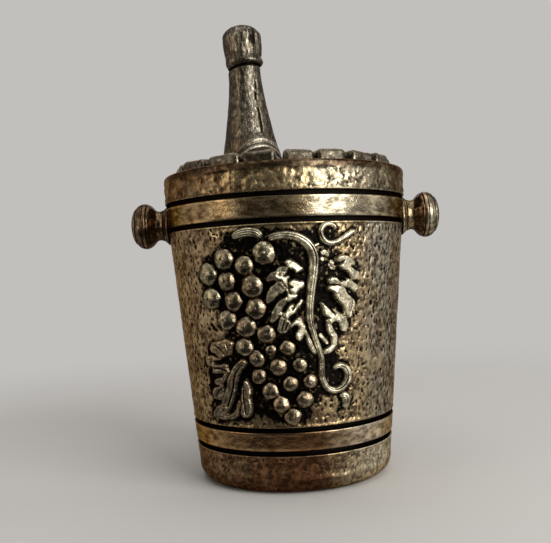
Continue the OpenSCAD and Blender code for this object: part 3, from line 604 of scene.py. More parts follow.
LOWER_LEAF_LOBES = [
    (1.2, 0.3, [(-17.1, 31.9), (-17, 33), (-16.4, 33.7), (-15.6, 34), (-14.8, 34.2), (-14, 34.5),
        (-13.1, 34.3), (-12.3, 33.9), (-12.1, 33.3), (-12.4, 32.6), (-12.6, 31.6), (-12.8, 31),
        (-13.6, 30.9), (-14.3, 30.5), (-14.9, 30.3), (-15.6, 30.6), (-15.9, 31.2), (-16.6, 31.4)]),
    (1.1, 0.25, [(-18.2, 29), (-18.2, 30), (-17.9, 30.6), (-17.2, 30.7), (-16.5, 30.6), (-15.9, 30.4),
        (-15.2, 30.1), (-15.6, 29.7), (-16.5, 29.5), (-16.6, 29), (-16.2, 28.9), (-15.2, 28.9), (-14.3, 29),
        (-13.7, 28.7), (-13.6, 28), (-13.3, 27.4), (-13.5, 26.8), (-14.2, 26.8), (-15, 26.9), (-15.9, 26.8),
        (-16.8, 26.8), (-17, 27.5), (-17, 28.2), (-17.7, 28.4)]),
    (1.05, 0.3, [(-16.7, 24.9), (-16.3, 25.6), (-15.6, 25.8), (-14.8, 26.1), (-14.3, 26.9), (-13.8, 26.9),
        (-14, 25.8), (-14.4, 25), (-15, 24.3), (-15.7, 24.2), (-16.3, 24.3)]),
    (1.05, 0.25, [(-17.2, 22.2), (-17, 23.2), (-16.5, 23.7), (-15.8, 23.9), (-15.2, 24.3), (-14.7, 24.2),
        (-14.8, 23.4), (-14.6, 22.6), (-14.3, 21.8), (-14.6, 21.2), (-15.3, 20.8), (-16.1, 20.9),
        (-16.8, 21.1), (-17.1, 21.6)]),
    (1.1, 0.25, [(-17.1, 17.2), (-17, 18.4), (-16.5, 19.3), (-15.8, 19.8), (-15.2, 20.1), (-15, 19.7),
        (-15.5, 19.1), (-15.9, 18.3), (-15.9, 17.7), (-15, 17.5), (-14, 17.7), (-13, 18.2), (-12.4, 18.9),
        (-12, 19.7), (-11.6, 20.8), (-11.3, 21.3), (-11.1, 20.7), (-11.1, 19.9), (-11.5, 18.9),
        (-11.8, 17.9), (-12.6, 17.1), (-13.6, 16.7), (-14.8, 16.5), (-16.2, 16.7)]),
    (1.3, 0.4, [(-10.8, 22.6), (-10.5, 24), (-10, 25), (-9.6, 25.9), (-9.2, 25.5), (-8.8, 24.6),
        (-8.5, 23.6), (-8.6, 22.6), (-8.9, 21.8), (-8.8, 21), (-8.7, 20), (-8.7, 19), (-8.9, 18.2),
        (-9.4, 17.6), (-10.2, 17.3), (-10.8, 17.7), (-11, 18.6), (-10.9, 19.6), (-10.6, 20.4),
        (-10.8, 21.4)]),
]
LOWER_LEAF_RIDGES = [
    (1.9, 1.45, 0.35, [(-10.2, 29.3), (-11.2, 28.3), (-12, 27.2), (-12.5, 25.8), (-12.8, 24.6),
        (-13.1, 23.2), (-13.5, 21.8), (-14, 20.4), (-14.6, 19), (-15.3, 17.8)]),
    (0.8, 1.65, 1, [(-9.4, 25.2), (-9.05, 24.2), (-8.85, 22.6)]),
]
LOWER_LEAF_CUTS = [
    (0.45, [(-16.6, 29.3), (-15, 29.7), (-13, 30.4)]),
    (0.35, [(-10.9, 28.3), (-11.9, 26.6), (-12.4, 24.2), (-12.9, 22), (-13.8, 19.6)]),
    (0.3, [(-10.1, 24.2), (-10.2, 21.6), (-9.9, 18.2)]),
    (0.3, [(-15.9, 33.2), (-14.6, 32), (-14, 31)]),
    (0.3, [(-16.4, 28), (-15.2, 28), (-14, 27.4)]),
    (0.3, [(-16.5, 21.6), (-15.9, 22.8), (-15, 23.6)]),
    (0.25, [(-13.5, 33.6), (-13.2, 32.4)]),
]
LEFT_LEAF = (LEFT_LEAF_LOBES, LEFT_LEAF_RIDGES, LEFT_LEAF_CUTS)
RIGHT_LEAF = (RIGHT_LEAF_LOBES, RIGHT_LEAF_RIDGES, RIGHT_LEAF_CUTS)
LOWER_LEAF = (LOWER_LEAF_LOBES, LOWER_LEAF_RIDGES, LOWER_LEAF_CUTS)
LEAVES = (LEFT_LEAF, RIGHT_LEAF, LOWER_LEAF)

# Outline of the blackened ground between the grapes, stem and leaves
GROUND = [
    (-19, 50.5), (-15.6, 53.6), (-13.6, 55), (-12, 57.4), (-5, 58), (4, 57.6), (7, 58.3), (9.8, 58.3),
    (10.4, 55.6), (10.6, 53), (13.3, 51.9), (14.9, 50.1), (15.6, 47.6), (15.1, 43), (13.8, 38),
    (12.3, 34.8), (9.9, 33.4), (9.6, 29.5), (12.2, 28.4), (12.8, 25.5), (12, 22), (11, 18.8), (9, 20.8),
    (6.2, 21.4), (4.6, 18.6), (2.2, 16), (-1.2, 15.6), (-2.8, 16.4), (-5.5, 17.4), (-7.8, 17), (-9, 16.6),
    (-13, 15.9), (-18, 16.2), (-18.2, 21), (-18.1, 26), (-19.2, 29), (-18.1, 33.6), (-14, 35.4),
    (-15.4, 39), (-18, 43), (-18.8, 47),
]


FAR = 1e6
TINY = 1e-9
LOOP_STEPS = 4


def ridge_path(width, places):
    """The middle line of a ridge, and half its width along it, which tapers at the ends."""
    mid = curve(places, 5)
    t = np.linspace(0, 1, len(mid))
    half = width / 2 * (0.75 + 0.3 * np.sin(np.pi * (0.12 + 0.8 * t)))
    return mid, half


def to_segment(x, z, a, b):
    """How far along the line from a to b each place lies, from 0 to 1, and its distance from the line."""
    ux, uz = b[0] - a[0], b[1] - a[1]
    t = np.clip(((x - a[0]) * ux + (z - a[1]) * uz) / (ux * ux + uz * uz + TINY), 0, 1)
    return t, np.hypot(x - a[0] - t * ux, z - a[1] - t * uz)


def path_distance(x, z, mid, half):
    """Each place's distance from a path's middle line as a share of the half width, and past its edge."""
    share = np.full(np.shape(x), FAR)
    past = np.full(np.shape(x), FAR)
    for a, b, half_a, half_b in zip(mid[:-1], mid[1:], half[:-1], half[1:]):
        t, away = to_segment(x, z, a, b)
        half_here = half_a + (half_b - half_a) * t
        share = np.minimum(share, away / half_here)
        past = np.minimum(past, away - half_here)
    return share, past


def outline_depth(x, z, outline):
    """How deep each place lies inside a smooth closed outline; less than 0 outside."""
    loop = curve(outline[-1:] + outline + outline[:2], LOOP_STEPS)[LOOP_STEPS:-LOOP_STEPS]
    inside = np.zeros(np.shape(x), bool)
    near = np.full(np.shape(x), FAR)
    for a, b in zip(loop[:-1], loop[1:]):
        near = np.minimum(near, to_segment(x, z, a, b)[1])
        if a[1] != b[1]:
            meets = a[0] + (z - a[1]) / (b[1] - a[1]) * (b[0] - a[0])
            inside = inside ^ (((a[1] > z) != (b[1] > z)) & (x < meets))
    return np.where(inside, near, -near)


def relief_paths():
    """Every line and ridge of the relief, as paths with half widths."""
    lines = [np.asarray(line) for line in (STEM, TENDRIL, STALK, BUD, CURL)]
    paths = [(line[:, :2], line[:, 2] / 2) for line in lines]
    paths += [ridge_path(width, places) for _, ridges, _ in LEAVES for width, _, _, places in ridges]
    return paths


def relief_past(x, z):
    """Distance from each place to the edge of the relief or its blackened ground, whichever is nearer."""
    past = 0.4 - outline_depth(x, z, GROUND)
    for gx, gz, radius in GRAPES:
        past = np.minimum(past, np.hypot(x - gx, z - gz) - radius)
    for mid, half in relief_paths():
        past = np.minimum(past, path_distance(x, z, mid, half)[1])
    for lobes, _, _ in LEAVES:
        for _, _, outline in lobes:
            past = np.minimum(past, -outline_depth(x, z, outline))
    return past


# The bucket

WALL_COLUMNS = 900
WALL_STEP = 0.2
FOOT_ROUND = 3.5
FOOT_CENTRE = (19.81, 3.5)
# The hollow under the foot, from the middle outward
FOOT_HOLLOW = [(0, 0.8), (6.0, 0.8), (13.6, 0.8), (14.05, 0.75), (14.7, 0.08), (14.9, 0.0)]
LIP_ROUND = 1.2
LIP_CENTRE = (28.38, 70.8)
LIP_SQUARENESS = 0.65
SEAT_RADIUS = 27.18
# Heights at which the wall's pits and waves leave off beside the hoops
WALL_EDGES = (8.6, 14.95, 58.75, 65.6)
PIT_SEED = 7
PIT_LEVELS = (2.0, 71.0)
PIT_RISE = 1.15
PIT_SPACING = 1.35
PIT_GAPS = 0.2
PIT_SHIFT = 0.4
PIT_WIDTH = (0.24, 0.62)
PIT_HEIGHT = (0.34, 0.82)
PIT_STRENGTH = (0.35, 1.0)
PIT_BEND = 0.22
PIT_BEND_SIZE = 0.6
PIT_DEPTH = 0.2
POCKET_DEPTH = 0.51
POCKET_RADIUS = 3.3
BUCKET_SHARP = 50
# Heights between which the band over the upper hoop begins, the lip leans in, and the foot's zones end
RIM_ZONE = (65.6, 66.8)
LEAN_ZONE = (66.0, 70.6)
FOOT_ZONE = (8.0, 10.0)
SHALLOW_ZONE = (8.0, 15.0)
LOW_ZONE = (14.0, 24.0)
LEAN_IN = 0.36
SKIN_UNEVEN = 0.04
# Places across the front between which golden flakes come in and leave off: beside the leaf, and on the rim
BESIDE_LEAF = (6.0, 10.0, 15.0, 19.0)
RIM_MIDDLE = (-14.0, -4.0, 12.0, 18.0)
EDGE_WEAR = 0.7


def run(a, b, step):
    """Places from a up to b, b left out."""
    count = max(1, int(math.hypot(b[0] - a[0], b[1] - a[1]) / step))
    t = np.linspace(0, 1, count, endpoint=False)
    return [(a[0] + (b[0] - a[0]) * s, a[1] + (b[1] - a[1]) * s) for s in t]


def arc(centre, radius, start, end, steps, power=1.0):
    """Places on a quarter turn or so; a power under 1 makes it squarer."""
    places = []
    for a in np.radians(np.linspace(start, end, steps)):
        places.append((centre[0] + radius * math.cos(a) ** power, centre[1] + radius * math.sin(a) ** power))
    return places


def on_wall(z, sunk=0.0):
    """Radius and height of a place on the wall, or sunk into it."""
    return (cone_radius(z) - sunk, z)


def channel_rows(bottom, top):
    """A hoop's channel with its softly broken edges."""
    def edge(z, out):
        return [on_wall(z + 0.15 * out), on_wall(z + 0.05 * out, 0.05), on_wall(z, 0.16)]

    floor = run(on_wall(bottom, 0.3), on_wall(bottom, CHANNEL_DEPTH), 0.3)
    floor += run(on_wall(bottom, CHANNEL_DEPTH), on_wall(top, CHANNEL_DEPTH), 0.8)
    floor += run(on_wall(top, CHANNEL_DEPTH), on_wall(top, 0.3), 0.3)
    return (edge(bottom, -1), "edge"), (floor, "channel"), (edge(top, 1)[::-1], "edge")


def bucket_profile():
    """Rows of the bucket from the middle of its foot, up the outside, and down the inside."""
    parts = [(FOOT_HOLLOW + arc(FOOT_CENTRE, FOOT_ROUND, -90, -math.degrees(CONE_LEAN), 26), "foot")]
    start = FOOT_CENTRE[1] - FOOT_ROUND * math.sin(CONE_LEAN) + 0.05
    for centre, width in (LOWER_HOOP, UPPER_HOOP):
        bottom = centre - width / 2 - GROOVE
        top = centre + width / 2 + GROOVE
        parts.append((run(on_wall(start), on_wall(bottom - 0.15), WALL_STEP), "wall"))
        parts += channel_rows(bottom, top)
        start = top + 0.15 + 0.05
    parts.append((run(on_wall(start + 0.05), on_wall(LIP_CENTRE[1]), WALL_STEP), "wall"))
    lip = arc(LIP_CENTRE, LIP_ROUND, 0, 90, 12, LIP_SQUARENESS)[:-1] + arc(LIP_CENTRE, LIP_ROUND, 90, 180, 11)
    parts.append((lip, "lip"))
    cavity = cone_radius(SEAT) - WALL
    bottom = FLOOR + 1.0
    corner = cone_radius(bottom) - WALL
    inside = [(SEAT_RADIUS, 70.0), (SEAT_RADIUS, SEAT + 0.06), (SEAT_RADIUS - 0.06, SEAT)]
    inside += [(cavity + 0.1, SEAT), (cavity, SEAT - 0.1)]
    inside += run((cavity, SEAT - 0.5), (corner, bottom), 0.6)
    inside += [(corner, bottom), (corner - 1.0, FLOOR), (12.0, FLOOR), (4.0, FLOOR), (0, FLOOR)]
    parts.append((inside, "inside"))
    return [(r, z, kind) for points, kind in parts for r, z in points]


def pit_marks(grid):
    """Small uneven pits at every row and column of the wall, from 0 to 1."""
    rng = np.random.default_rng(PIT_SEED)
    z_rows = grid[:, 0, 2]
    turn = turns(WALL_COLUMNS)
    bend_across = PIT_BEND * noise(grid, PIT_BEND_SIZE, 15)
    bend_up = PIT_BEND * noise(grid, PIT_BEND_SIZE, 16)
    marks = np.zeros(grid.shape[:2])
    for level in np.arange(*PIT_LEVELS, PIT_RISE):
        r = cone_radius(level)
        count = int(2 * np.pi * r / PIT_SPACING)
        stagger = 0.5 * (int(level / PIT_RISE) % 2)
        for n in range(count):
            if rng.random() < PIT_GAPS:
                continue
            a = (n + 0.6 * rng.random() + stagger) * 2 * np.pi / count
            z = level + rng.uniform(-PIT_SHIFT, PIT_SHIFT)
            # Broader towards the right, as in the photo
            broad = 1 + 0.3 * smooth(r * math.cos(a), 10.0, 20.0)
            wide = broad * rng.uniform(*PIT_WIDTH)
            tall = broad * rng.uniform(*PIT_HEIGHT)
            strength = rng.uniform(*PIT_STRENGTH)
            rows = np.nonzero(np.abs(z_rows - z) < tall + PIT_BEND)[0]
            if len(rows) == 0:
                continue
            reach = int((wide + PIT_BEND) / r * WALL_COLUMNS / (2 * np.pi)) + 1
            columns = (int(a * WALL_COLUMNS / (2 * np.pi)) + np.arange(-reach, reach + 1)) % WALL_COLUMNS
            block = np.ix_(rows, columns)
            across = ((turn[columns] - a + np.pi) % (2 * np.pi) - np.pi)[None, :] * r + bend_across[block]
            up = (z_rows[rows] - z)[:, None] + bend_up[block]
            far = (across / wide) ** 2 + (up / tall) ** 2
            marks[block] = np.maximum(marks[block], strength * np.clip(1 - far, 0, 1))
    return marks


def screw_pockets(grid, inside):
    """Flat pockets on the inside of the wall, in which the knobs' screw heads lie."""
    floor_x = cone_radius(KNOB_HEIGHT) - WALL + POCKET_DEPTH
    near = np.hypot(grid[..., 1], grid[..., 2] - KNOB_HEIGHT) < POCKET_RADIUS
    for side in (-1, 1):
        pick = near & inside & (grid[..., 0] * side > 0)
        grid[..., 0] = np.where(pick, side * floor_x, grid[..., 0])


def wall_roughness(kinds, z):
    """How far each row is pitted and waved, from 0 to 1: less beside the hoops, the foot and the lip."""
    edge = 1.0
    for level in WALL_EDGES:
        edge = edge * smooth(np.abs(z - level), 0.1, 0.7)
    return np.where(kinds == "wall", 1.0, 0.0) * edge * smooth(z, 3.0, 4.5) * smooth(-z, -70.8, -69.6)


def ground_cavity(grid, rough):
    """The blackened ground between and beside the pieces of the relief."""
    front = (grid[..., 1] < 0) & (rough > 0)
    past = np.full(front.shape, 9.0)
    past[front] = relief_past(grid[..., 0][front], grid[..., 2][front])
    stray = noise(grid, 2.6, 8) * 0.6 + noise(grid, 0.7, 9) * 0.6
    flecks = spots(grid, 0.55, 2.2, 0.5, 13, 0.3, 0.65)
    return smooth(-(past + stray), -1.5, 0.4) * (1 - 0.5 * flecks)


def make_bucket(metal):
    """The bucket with a pitted and waved wall, a blackened ground behind the relief, and worn edges."""
    rows = bucket_profile()
    grid, faces, poles = lathe([(r, z) for r, z, _ in rows], WALL_COLUMNS)
    kinds = np.array([kind for _, _, kind in rows[1:-1]])[:, None]
    z = np.array([z for _, z, _ in rows[1:-1]])[:, None]
    rough = wall_roughness(kinds, z)
    rim = smooth(z, *RIM_ZONE)
    foot = 1 - smooth(z, *FOOT_ZONE)

    marks = pit_marks(grid) * (rough * (1 - 0.6 * rim) * (0.55 + 0.45 * smooth(z, *SHALLOW_ZONE)))
    waves = 0.06 * (1 + noise(grid, 2.4, 3)) + 0.06 * (1 + noise(grid, 0.9, 4))
    waves = waves + rim * (0.15 * noise(grid, 1.3, 6) + 0.06 * noise(grid, 0.7, 10))
    sunk = PIT_DEPTH * marks + waves * rough + LEAN_IN * smooth(z, *LEAN_ZONE) * (kinds != "inside")
    sunk = sunk + SKIN_UNEVEN * np.isin(kinds, ("lip", "foot")) * (1 + noise(grid, 3.0, 5))
    away = np.hypot(grid[..., 0], grid[..., 1])
    grid[..., :2] *= (1 - sunk / np.maximum(away, 1.0))[..., None]
    screw_pockets(grid, kinds == "inside")

    x, y = grid[..., 0], grid[..., 1]
    beside = band(x, *BESIDE_LEAF) * (y < 0)
    speckle = spots(grid, 0.42, 1.6, 0.4, 19, 0.08, 0.42) * np.maximum(beside, 0.9 * foot)
    faint = 0.72 - 0.1 * smooth(x, 8.0, 16.0) - 0.14 * smooth(y, -10.0, 4.0)
    pitted = smooth(marks, 0.02, 0.6) * faint
    cavity = most(kinds == "channel", ground_cavity(grid, rough), pitted, 0.6 * speckle * rough)

    high = 1 - smooth(waves / (0.24 + 0.1 * rim), 0.2, 0.75)
    high = np.clip(high * rough * (1 - 1.5 * marks), 0, 1)
    middle = 0.3 + 0.7 * band(x, *RIM_MIDDLE)
    low = 0.25 * (1 - smooth(z, *LOW_ZONE)) + 0.45 * foot
    flakes = spots(grid, 0.5, 2.0, 0.4, 17, 0.15, 0.5) * np.maximum(rim * middle + low, beside)
    wear = most(EDGE_WEAR * high, flakes * rough, EDGE_WEAR * (kinds == "edge"))
    piece("bucket_cast", joined(grid, poles), faces, metal, "bucket", "bucket_shell",
          np.append(cavity, [0, 0]), np.append(wear, [0, 0]), BUCKET_SHARP)


HOOP_COLUMNS = 480
HOOP_GAP = 0.03
HOOP_ROUND = 0.32


def make_hoop(name, centre, width, metal, node):
    """A smooth hoop with softly rounded edges and a slightly uneven face."""
    low, high = centre - width / 2, centre + width / 2
    depth = CHANNEL_DEPTH - HOOP_GAP
    rows = [on_wall(low, depth), on_wall(low, 0.7)]
    rows += arc((cone_radius(low) - HOOP_ROUND, low + HOOP_ROUND), HOOP_ROUND, -90, 0, 6)
    rows += run(on_wall(low + 0.4), on_wall(high - 0.4), 0.3)
    rows += arc((cone_radius(high) - HOOP_ROUND, high - HOOP_ROUND), HOOP_ROUND, 0, 90, 6)
    rows += [on_wall(high, 0.7), on_wall(high, depth)]
    grid = spun(rows, HOOP_COLUMNS)
    r, z = np.hsplit(np.array(rows), 2)
    out = smooth(r - (cone_radius(z) - 0.5), 0.0, 0.3)
    dent = 0.03 * (1 + noise(grid, 5.0, 11)) + 0.012 * (1 + noise(grid, 1.3, 12))
    grid[..., :2] *= (1 - out * dent / r)[..., None]
    last = (len(rows) - 1) * HOOP_COLUMNS
    faces = ring_faces(len(rows), HOOP_COLUMNS)
    faces += [[j, last + j, last + k, k] for j, k in enumerate([*range(1, HOOP_COLUMNS), 0])]
    rim = np.minimum(z - low, high - z) + np.zeros(HOOP_COLUMNS)
    cavity = (1 - smooth(rim, 0.03, 0.3)) * 0.9
    wear = band(rim, 0.2, 0.35, 0.45, 0.9) * 0.55
    piece(name, grid.reshape(-1, 3), faces, metal, "bucket", node, cavity, wear)


# Along the knob from the wall, and radius, as shares of its length and its head's radius
KNOB_PROFILE = [
    (-0.12, 0.90), (0, 0.86), (0.05, 0.79), (0.11, 0.715), (0.18, 0.66), (0.25, 0.645), (0.31, 0.67),
    (0.36, 0.74), (0.41, 0.83), (0.47, 0.915), (0.545, 0.978), (0.61, 1.0), (0.67, 0.995), (0.74, 0.96),
    (0.8, 0.9), (0.85, 0.825), (0.9, 0.735), (0.94, 0.61), (0.97, 0.46), (0.99, 0.28),
]
KNOB_LENGTH = 9.1
KNOB_RADIUS = 5.6
KNOB_COLUMNS = 96
KNOB_UNEVEN = 0.03
# Turned grooves, and rings of painted highlight: place along the knob, and width
KNOB_GROOVES = ((0.115, 0.012), (0.545, 0.014), (0.655, 0.010), (0.85, 0.016))
KNOB_GROOVE_DEPTH = 0.16
KNOB_HIGHLIGHT_RINGS = ((0.06, 0.035), (0.6, 0.03), (0.9, 0.02))


def laid_along_x(points, height, turn):
    """Lays a shape that was turned about Z along X at a height, and turns it about Z."""
    x, y, z = points[:, 2], points[:, 1], height - points[:, 0]
    c, s = math.cos(turn), math.sin(turn)
    return np.stack([x * c - y * s, x * s + y * c, z], axis=-1)


def make_knob(name, turn, seed, metal, node):
    """A turned knob with a flared foot, waisted neck and grooved head."""
    profile = curve(KNOB_PROFILE, 12)
    t, share = profile[:, 0], np.minimum(profile[:, 1], 1)
    groove = sum(bell(t, *place) for place in KNOB_GROOVES)
    radius = KNOB_RADIUS * share - KNOB_GROOVE_DEPTH * np.clip(groove, 0, 1)
    foot = cone_radius(KNOB_HEIGHT)
    rows = [(0, foot - 1.0), *zip(radius, foot + KNOB_LENGTH * t), (0, foot + KNOB_LENGTH - 0.02)]
    grid, faces, poles = lathe(rows, KNOB_COLUMNS)
    chatter = KNOB_UNEVEN * (noise(grid + seed * 31.0, 2.0, seed) - 1)
    grid[..., :2] *= (1 + chatter / np.maximum(radius, 1.0)[:, None])[..., None]
    dark = np.clip(groove * 0.85, 0, 1) + (1 - smooth(t, -0.04, 0.015)) * 0.9
    # Painted highlight: pale rings where the turned head catches the light, carried in the wear attribute.
    bright = 0.5 * sum(bell(t, *place) for place in KNOB_HIGHLIGHT_RINGS)
    cavity = np.append(np.repeat(np.clip(dark, 0, 1), KNOB_COLUMNS), [0, 0])
    wear = np.append(np.repeat(bright, KNOB_COLUMNS), [0, 0])
    points = laid_along_x(joined(grid, poles), KNOB_HEIGHT, turn)
    piece(name, points, faces, metal, "bucket", node, cavity, wear)


# The vine

GRAPE_RINGS = 24
GRAPE_COLUMNS = 44
GRAPE_RISE = 0.78
GRAPE_GROWTH = 1.14
GRAPE_ROUND = 0.92


def grape(x, z, radius):
    """A domed grape on the wall, turned to face straight out and closed behind the wall's surface."""
    lean = np.radians(np.linspace(0, 90, GRAPE_RINGS - 1))[1:]
    across = np.append(np.sin(lean) ** GRAPE_ROUND, [1.0, 0.97])
    height = np.append(np.cos(lean) ** GRAPE_ROUND, [-0.10, -0.35])
    turn = turns(GRAPE_COLUMNS)[:, None]
    foot = wall_point(np.float64(x), np.float64(z), 0.0)
    out = np.array([foot[0], foot[1], 0])
    out = out / np.linalg.norm(out)
    side = np.array([-out[1], out[0], 0])
    up = np.array([0, 0, 1.0])
    wide = 1.05 + 0.05 * smooth(z, 26.0, 42.0)
    shape = wide * across[:, None, None] * (np.cos(turn) * side + np.sin(turn) * up)
    shape = shape + (GRAPE_RISE * height)[:, None, None] * out
    rounded = foot + radius * shape
    uneven = 0.96 + 0.075 * noise(rounded, 1.4, 21) + 0.03 * noise(rounded, 0.7, 22)
    grid = foot + GRAPE_GROWTH * radius * shape * uneven[..., None]
    poles = np.stack([foot + out * radius * GRAPE_RISE * 0.97, foot - out * radius * 0.4])
    # Blackened towards the grape's foot: black patina where it meets the ground, and painted shade on its
    # lower flanks.
    deep = (1 - smooth(height, 0.02, 0.36))[:, None] + 0.1 * noise(grid, 0.8, 23)
    shine = smooth(height, 0.2, 0.6)[:, None] * (0.5 + 0.4 * noise(grid, 1.3, 24))
    faces = closed_faces(len(across), GRAPE_COLUMNS, flip=True)
    wear = np.append(np.clip(shine, 0, 1) * 0.6, [0.3, 0])
    return joined(grid, poles), faces, np.append(deep, [0, 1]), wear


def line_mesh(places, height, grooves=(), groove_depth=0.0, widening=1.0):
    """A half-round line on the wall with grooves along it and rounded ends."""
    line = curve(places, 7)
    mid, width = line[:, :2], widening * line[:, 2]
    step = np.gradient(mid, axis=0)
    length = np.linalg.norm(step, axis=1)
    side = np.stack([-step[:, 1], step[:, 0]], axis=-1) / length[:, None]
    travel = np.cumsum(length)
    to_end = np.minimum(travel - travel[0], travel[-1] - travel)
    close = np.clip(to_end / (0.5 * width), 0.02, 1)
    tip = np.sqrt(1 - (1 - close) ** 2)
    half = (width / 2 * tip)[:, None]
    high = (height * np.sqrt(width / width.max()) * tip)[:, None]
    angle = np.radians(np.linspace(-28, 208, 34))
    across, lift = np.cos(angle), np.sin(angle)
    cut = sum(bell(across, place, 0.12) * (lift > 0) for place in grooves) + 0 * angle
    x = mid[:, :1] + side[:, :1] * half * across
    z = mid[:, 1:] + side[:, 1:] * half * across
    flat = np.stack([x, z, 0 * x], axis=-1)
    rise = high * lift * (1 - groove_depth * cut) + 0.03 * noise(flat, 0.8, 31) * (lift > 0.2)
    rows, columns = x.shape
    ends = [list(range(columns))[::-1], list(range((rows - 1) * columns, rows * columns))]
    worn = noise(flat * 0.6, 0.8, 32)
    cavity = np.clip(1 - smooth(lift, -0.05, 0.3) + 0.8 * cut, 0, 1) + 0.3 * smooth(-worn, 0.1, 0.7)
    wear = smooth(lift, 0.3, 0.8) * (0.2 + 0.8 * smooth(worn, -0.35, 0.2))
    points = wall_point(x, z, rise).reshape(-1, 3)
    return points, ring_faces(rows, columns) + ends, cavity.ravel(), wear.ravel()


LEAF_STEP = 0.1
LEAF_MARGIN = 2
LEAF_SUNK = -0.3
LEAF_BACK = -0.45
LEAF_TILT = 0.22
LOBE_SOFT = 0.7
CUT_DEPTH = 0.5
SHINE_SOFTENING = 10
STEM_WIDENING = 1.12
TENDRIL_WIDENING = 1.15
# How far the lobes and ridges grow over their outlines
UPPER_LEAF_GROWTH = 0.3
LOWER_LEAF_GROWTH = 0.19


def neighbours(values):
    """A grid shifted by one step to each of its four sides."""
    return [np.roll(values, step, axis) for step in (-1, 1) for axis in (0, 1)]


def leaf_forms(x, z, leaf, growth, ragged):
    """Height, shine and depth inside the edge over a grid, out of a leaf's lobes and ridges."""
    lobes, ridges, _ = leaf
    height = np.full(x.shape, LEAF_SUNK)
    shine = np.zeros(x.shape)
    depth = np.full(x.shape, -1.0)
    forms = [(rise, glow, outline_depth(x, z, outline), LOBE_SOFT) for rise, glow, outline in lobes]
    for width, rise, glow, places in ridges:
        past = path_distance(x, z, *ridge_path(width, places))[1]
        forms.append((rise, glow, -past, width / 2))
    for rise, glow, deep, soft in forms:
        deep = deep + growth + ragged
        middle = x[deep > 0].mean()
        tilt = np.clip(1 - LEAF_TILT * glow * (x - middle), 0.5, 1.3)
        body = rise * tilt * (1 - (1 - np.clip(deep / soft, 0, 1)) ** 3)
        body = np.where(deep > 0, body, LEAF_SUNK)
        shine = np.where(body > height, glow, shine)
        depth = np.maximum(depth, deep)
        height = np.maximum(height, body)
    for _ in range(SHINE_SOFTENING):
        shine = (shine + sum(neighbours(shine))) / 5
    return height, shine, depth


def leaf_mesh(leaf, growth, seed):
    """A leaf of rounded lobes and ridges with cuts between them, on the wall and closed behind."""
    lobes, ridges, cuts = leaf
    every = np.vstack([row[-1] for row in lobes + ridges])
    low, high = every.min(axis=0) - LEAF_MARGIN, every.max(axis=0) + LEAF_MARGIN
    x, z = np.meshgrid(*(np.arange(low[k], high[k], LEAF_STEP) for k in (0, 1)))
    flat = np.stack([x, z, 0 * x], axis=-1)
    ragged = 0.10 * noise(flat, 0.8, seed) + 0.05 * noise(flat, 0.35, seed + 2)
    height, shine, depth = leaf_forms(x, z, leaf, growth, ragged)
    crease = np.zeros(x.shape)
    for width, places in cuts:
        share = path_distance(x, z, *ridge_path(width, places))[0]
        crease = np.maximum(crease, bell(share, 0, 1))
    height = np.where(height > 0, height * (1 - CUT_DEPTH * crease), height)
    uneven = 0.12 * noise(flat, 1.5, seed + 1) + 0.05 * noise(flat, 0.6, seed + 3)
    height = np.where(height > 0.3, height + uneven, height)
    shown = height > LEAF_SUNK + 1e-6
    near = np.any([shown, *neighbours(shown)], axis=0)
    keep = near[:-1, :-1] & near[1:, :-1] & near[:-1, 1:] & near[1:, 1:]
    dark = np.maximum(1 - smooth(depth, 0.0, 0.12), crease)
    stain = smooth(depth, 0.45, 0.9) * (1 - shine) * smooth(noise(flat, 0.8, seed + 4), -0.25, 0.35)
    rubbed = 0.6 * (1 - shine) * bell(depth, 0.3, 0.13)
    tarnish = 1 - 0.45 * smooth(noise(flat, 0.65, seed + 5), -0.05, 0.4)
    bright = np.maximum(shine * tarnish * smooth(depth, 0.06, 0.4), rubbed)
    return sheet(x, z, height, keep, np.maximum(dark, 0.5 * stain), bright)


def sheet(x, z, height, keep, dark, bright):
    """A closed sheet from the kept squares of a grid of heights over the wall."""
    columns = x.shape[1]
    i, j = np.nonzero(keep)
    corner = i * columns + j
    quads = np.stack([corner, corner + 1, corner + columns + 1, corner + columns], axis=-1)
    used, compact = np.unique(quads, return_inverse=True)
    quads = compact.reshape(quads.shape)
    count = len(used)
    x, z, height, dark, bright = (values.ravel()[used] for values in (x, z, height, dark, bright))
    points = np.vstack([wall_point(x, z, height), wall_point(x, z, np.full(count, LEAF_BACK))])
    edges = np.concatenate([quads[:, [k, (k + 1) % 4]] for k in range(4)]).tolist()
    seen = set(map(tuple, edges))
    faces = quads.tolist() + (quads[:, ::-1] + count).tolist()
    faces += [[b, a, a + count, b + count] for a, b in edges if (b, a) not in seen]
    cavity = np.concatenate([np.clip(dark, 0, 1), np.ones(count)])
    wear = np.concatenate([np.clip(bright, 0, 1), np.zeros(count)])
    return points, faces, cavity, wear


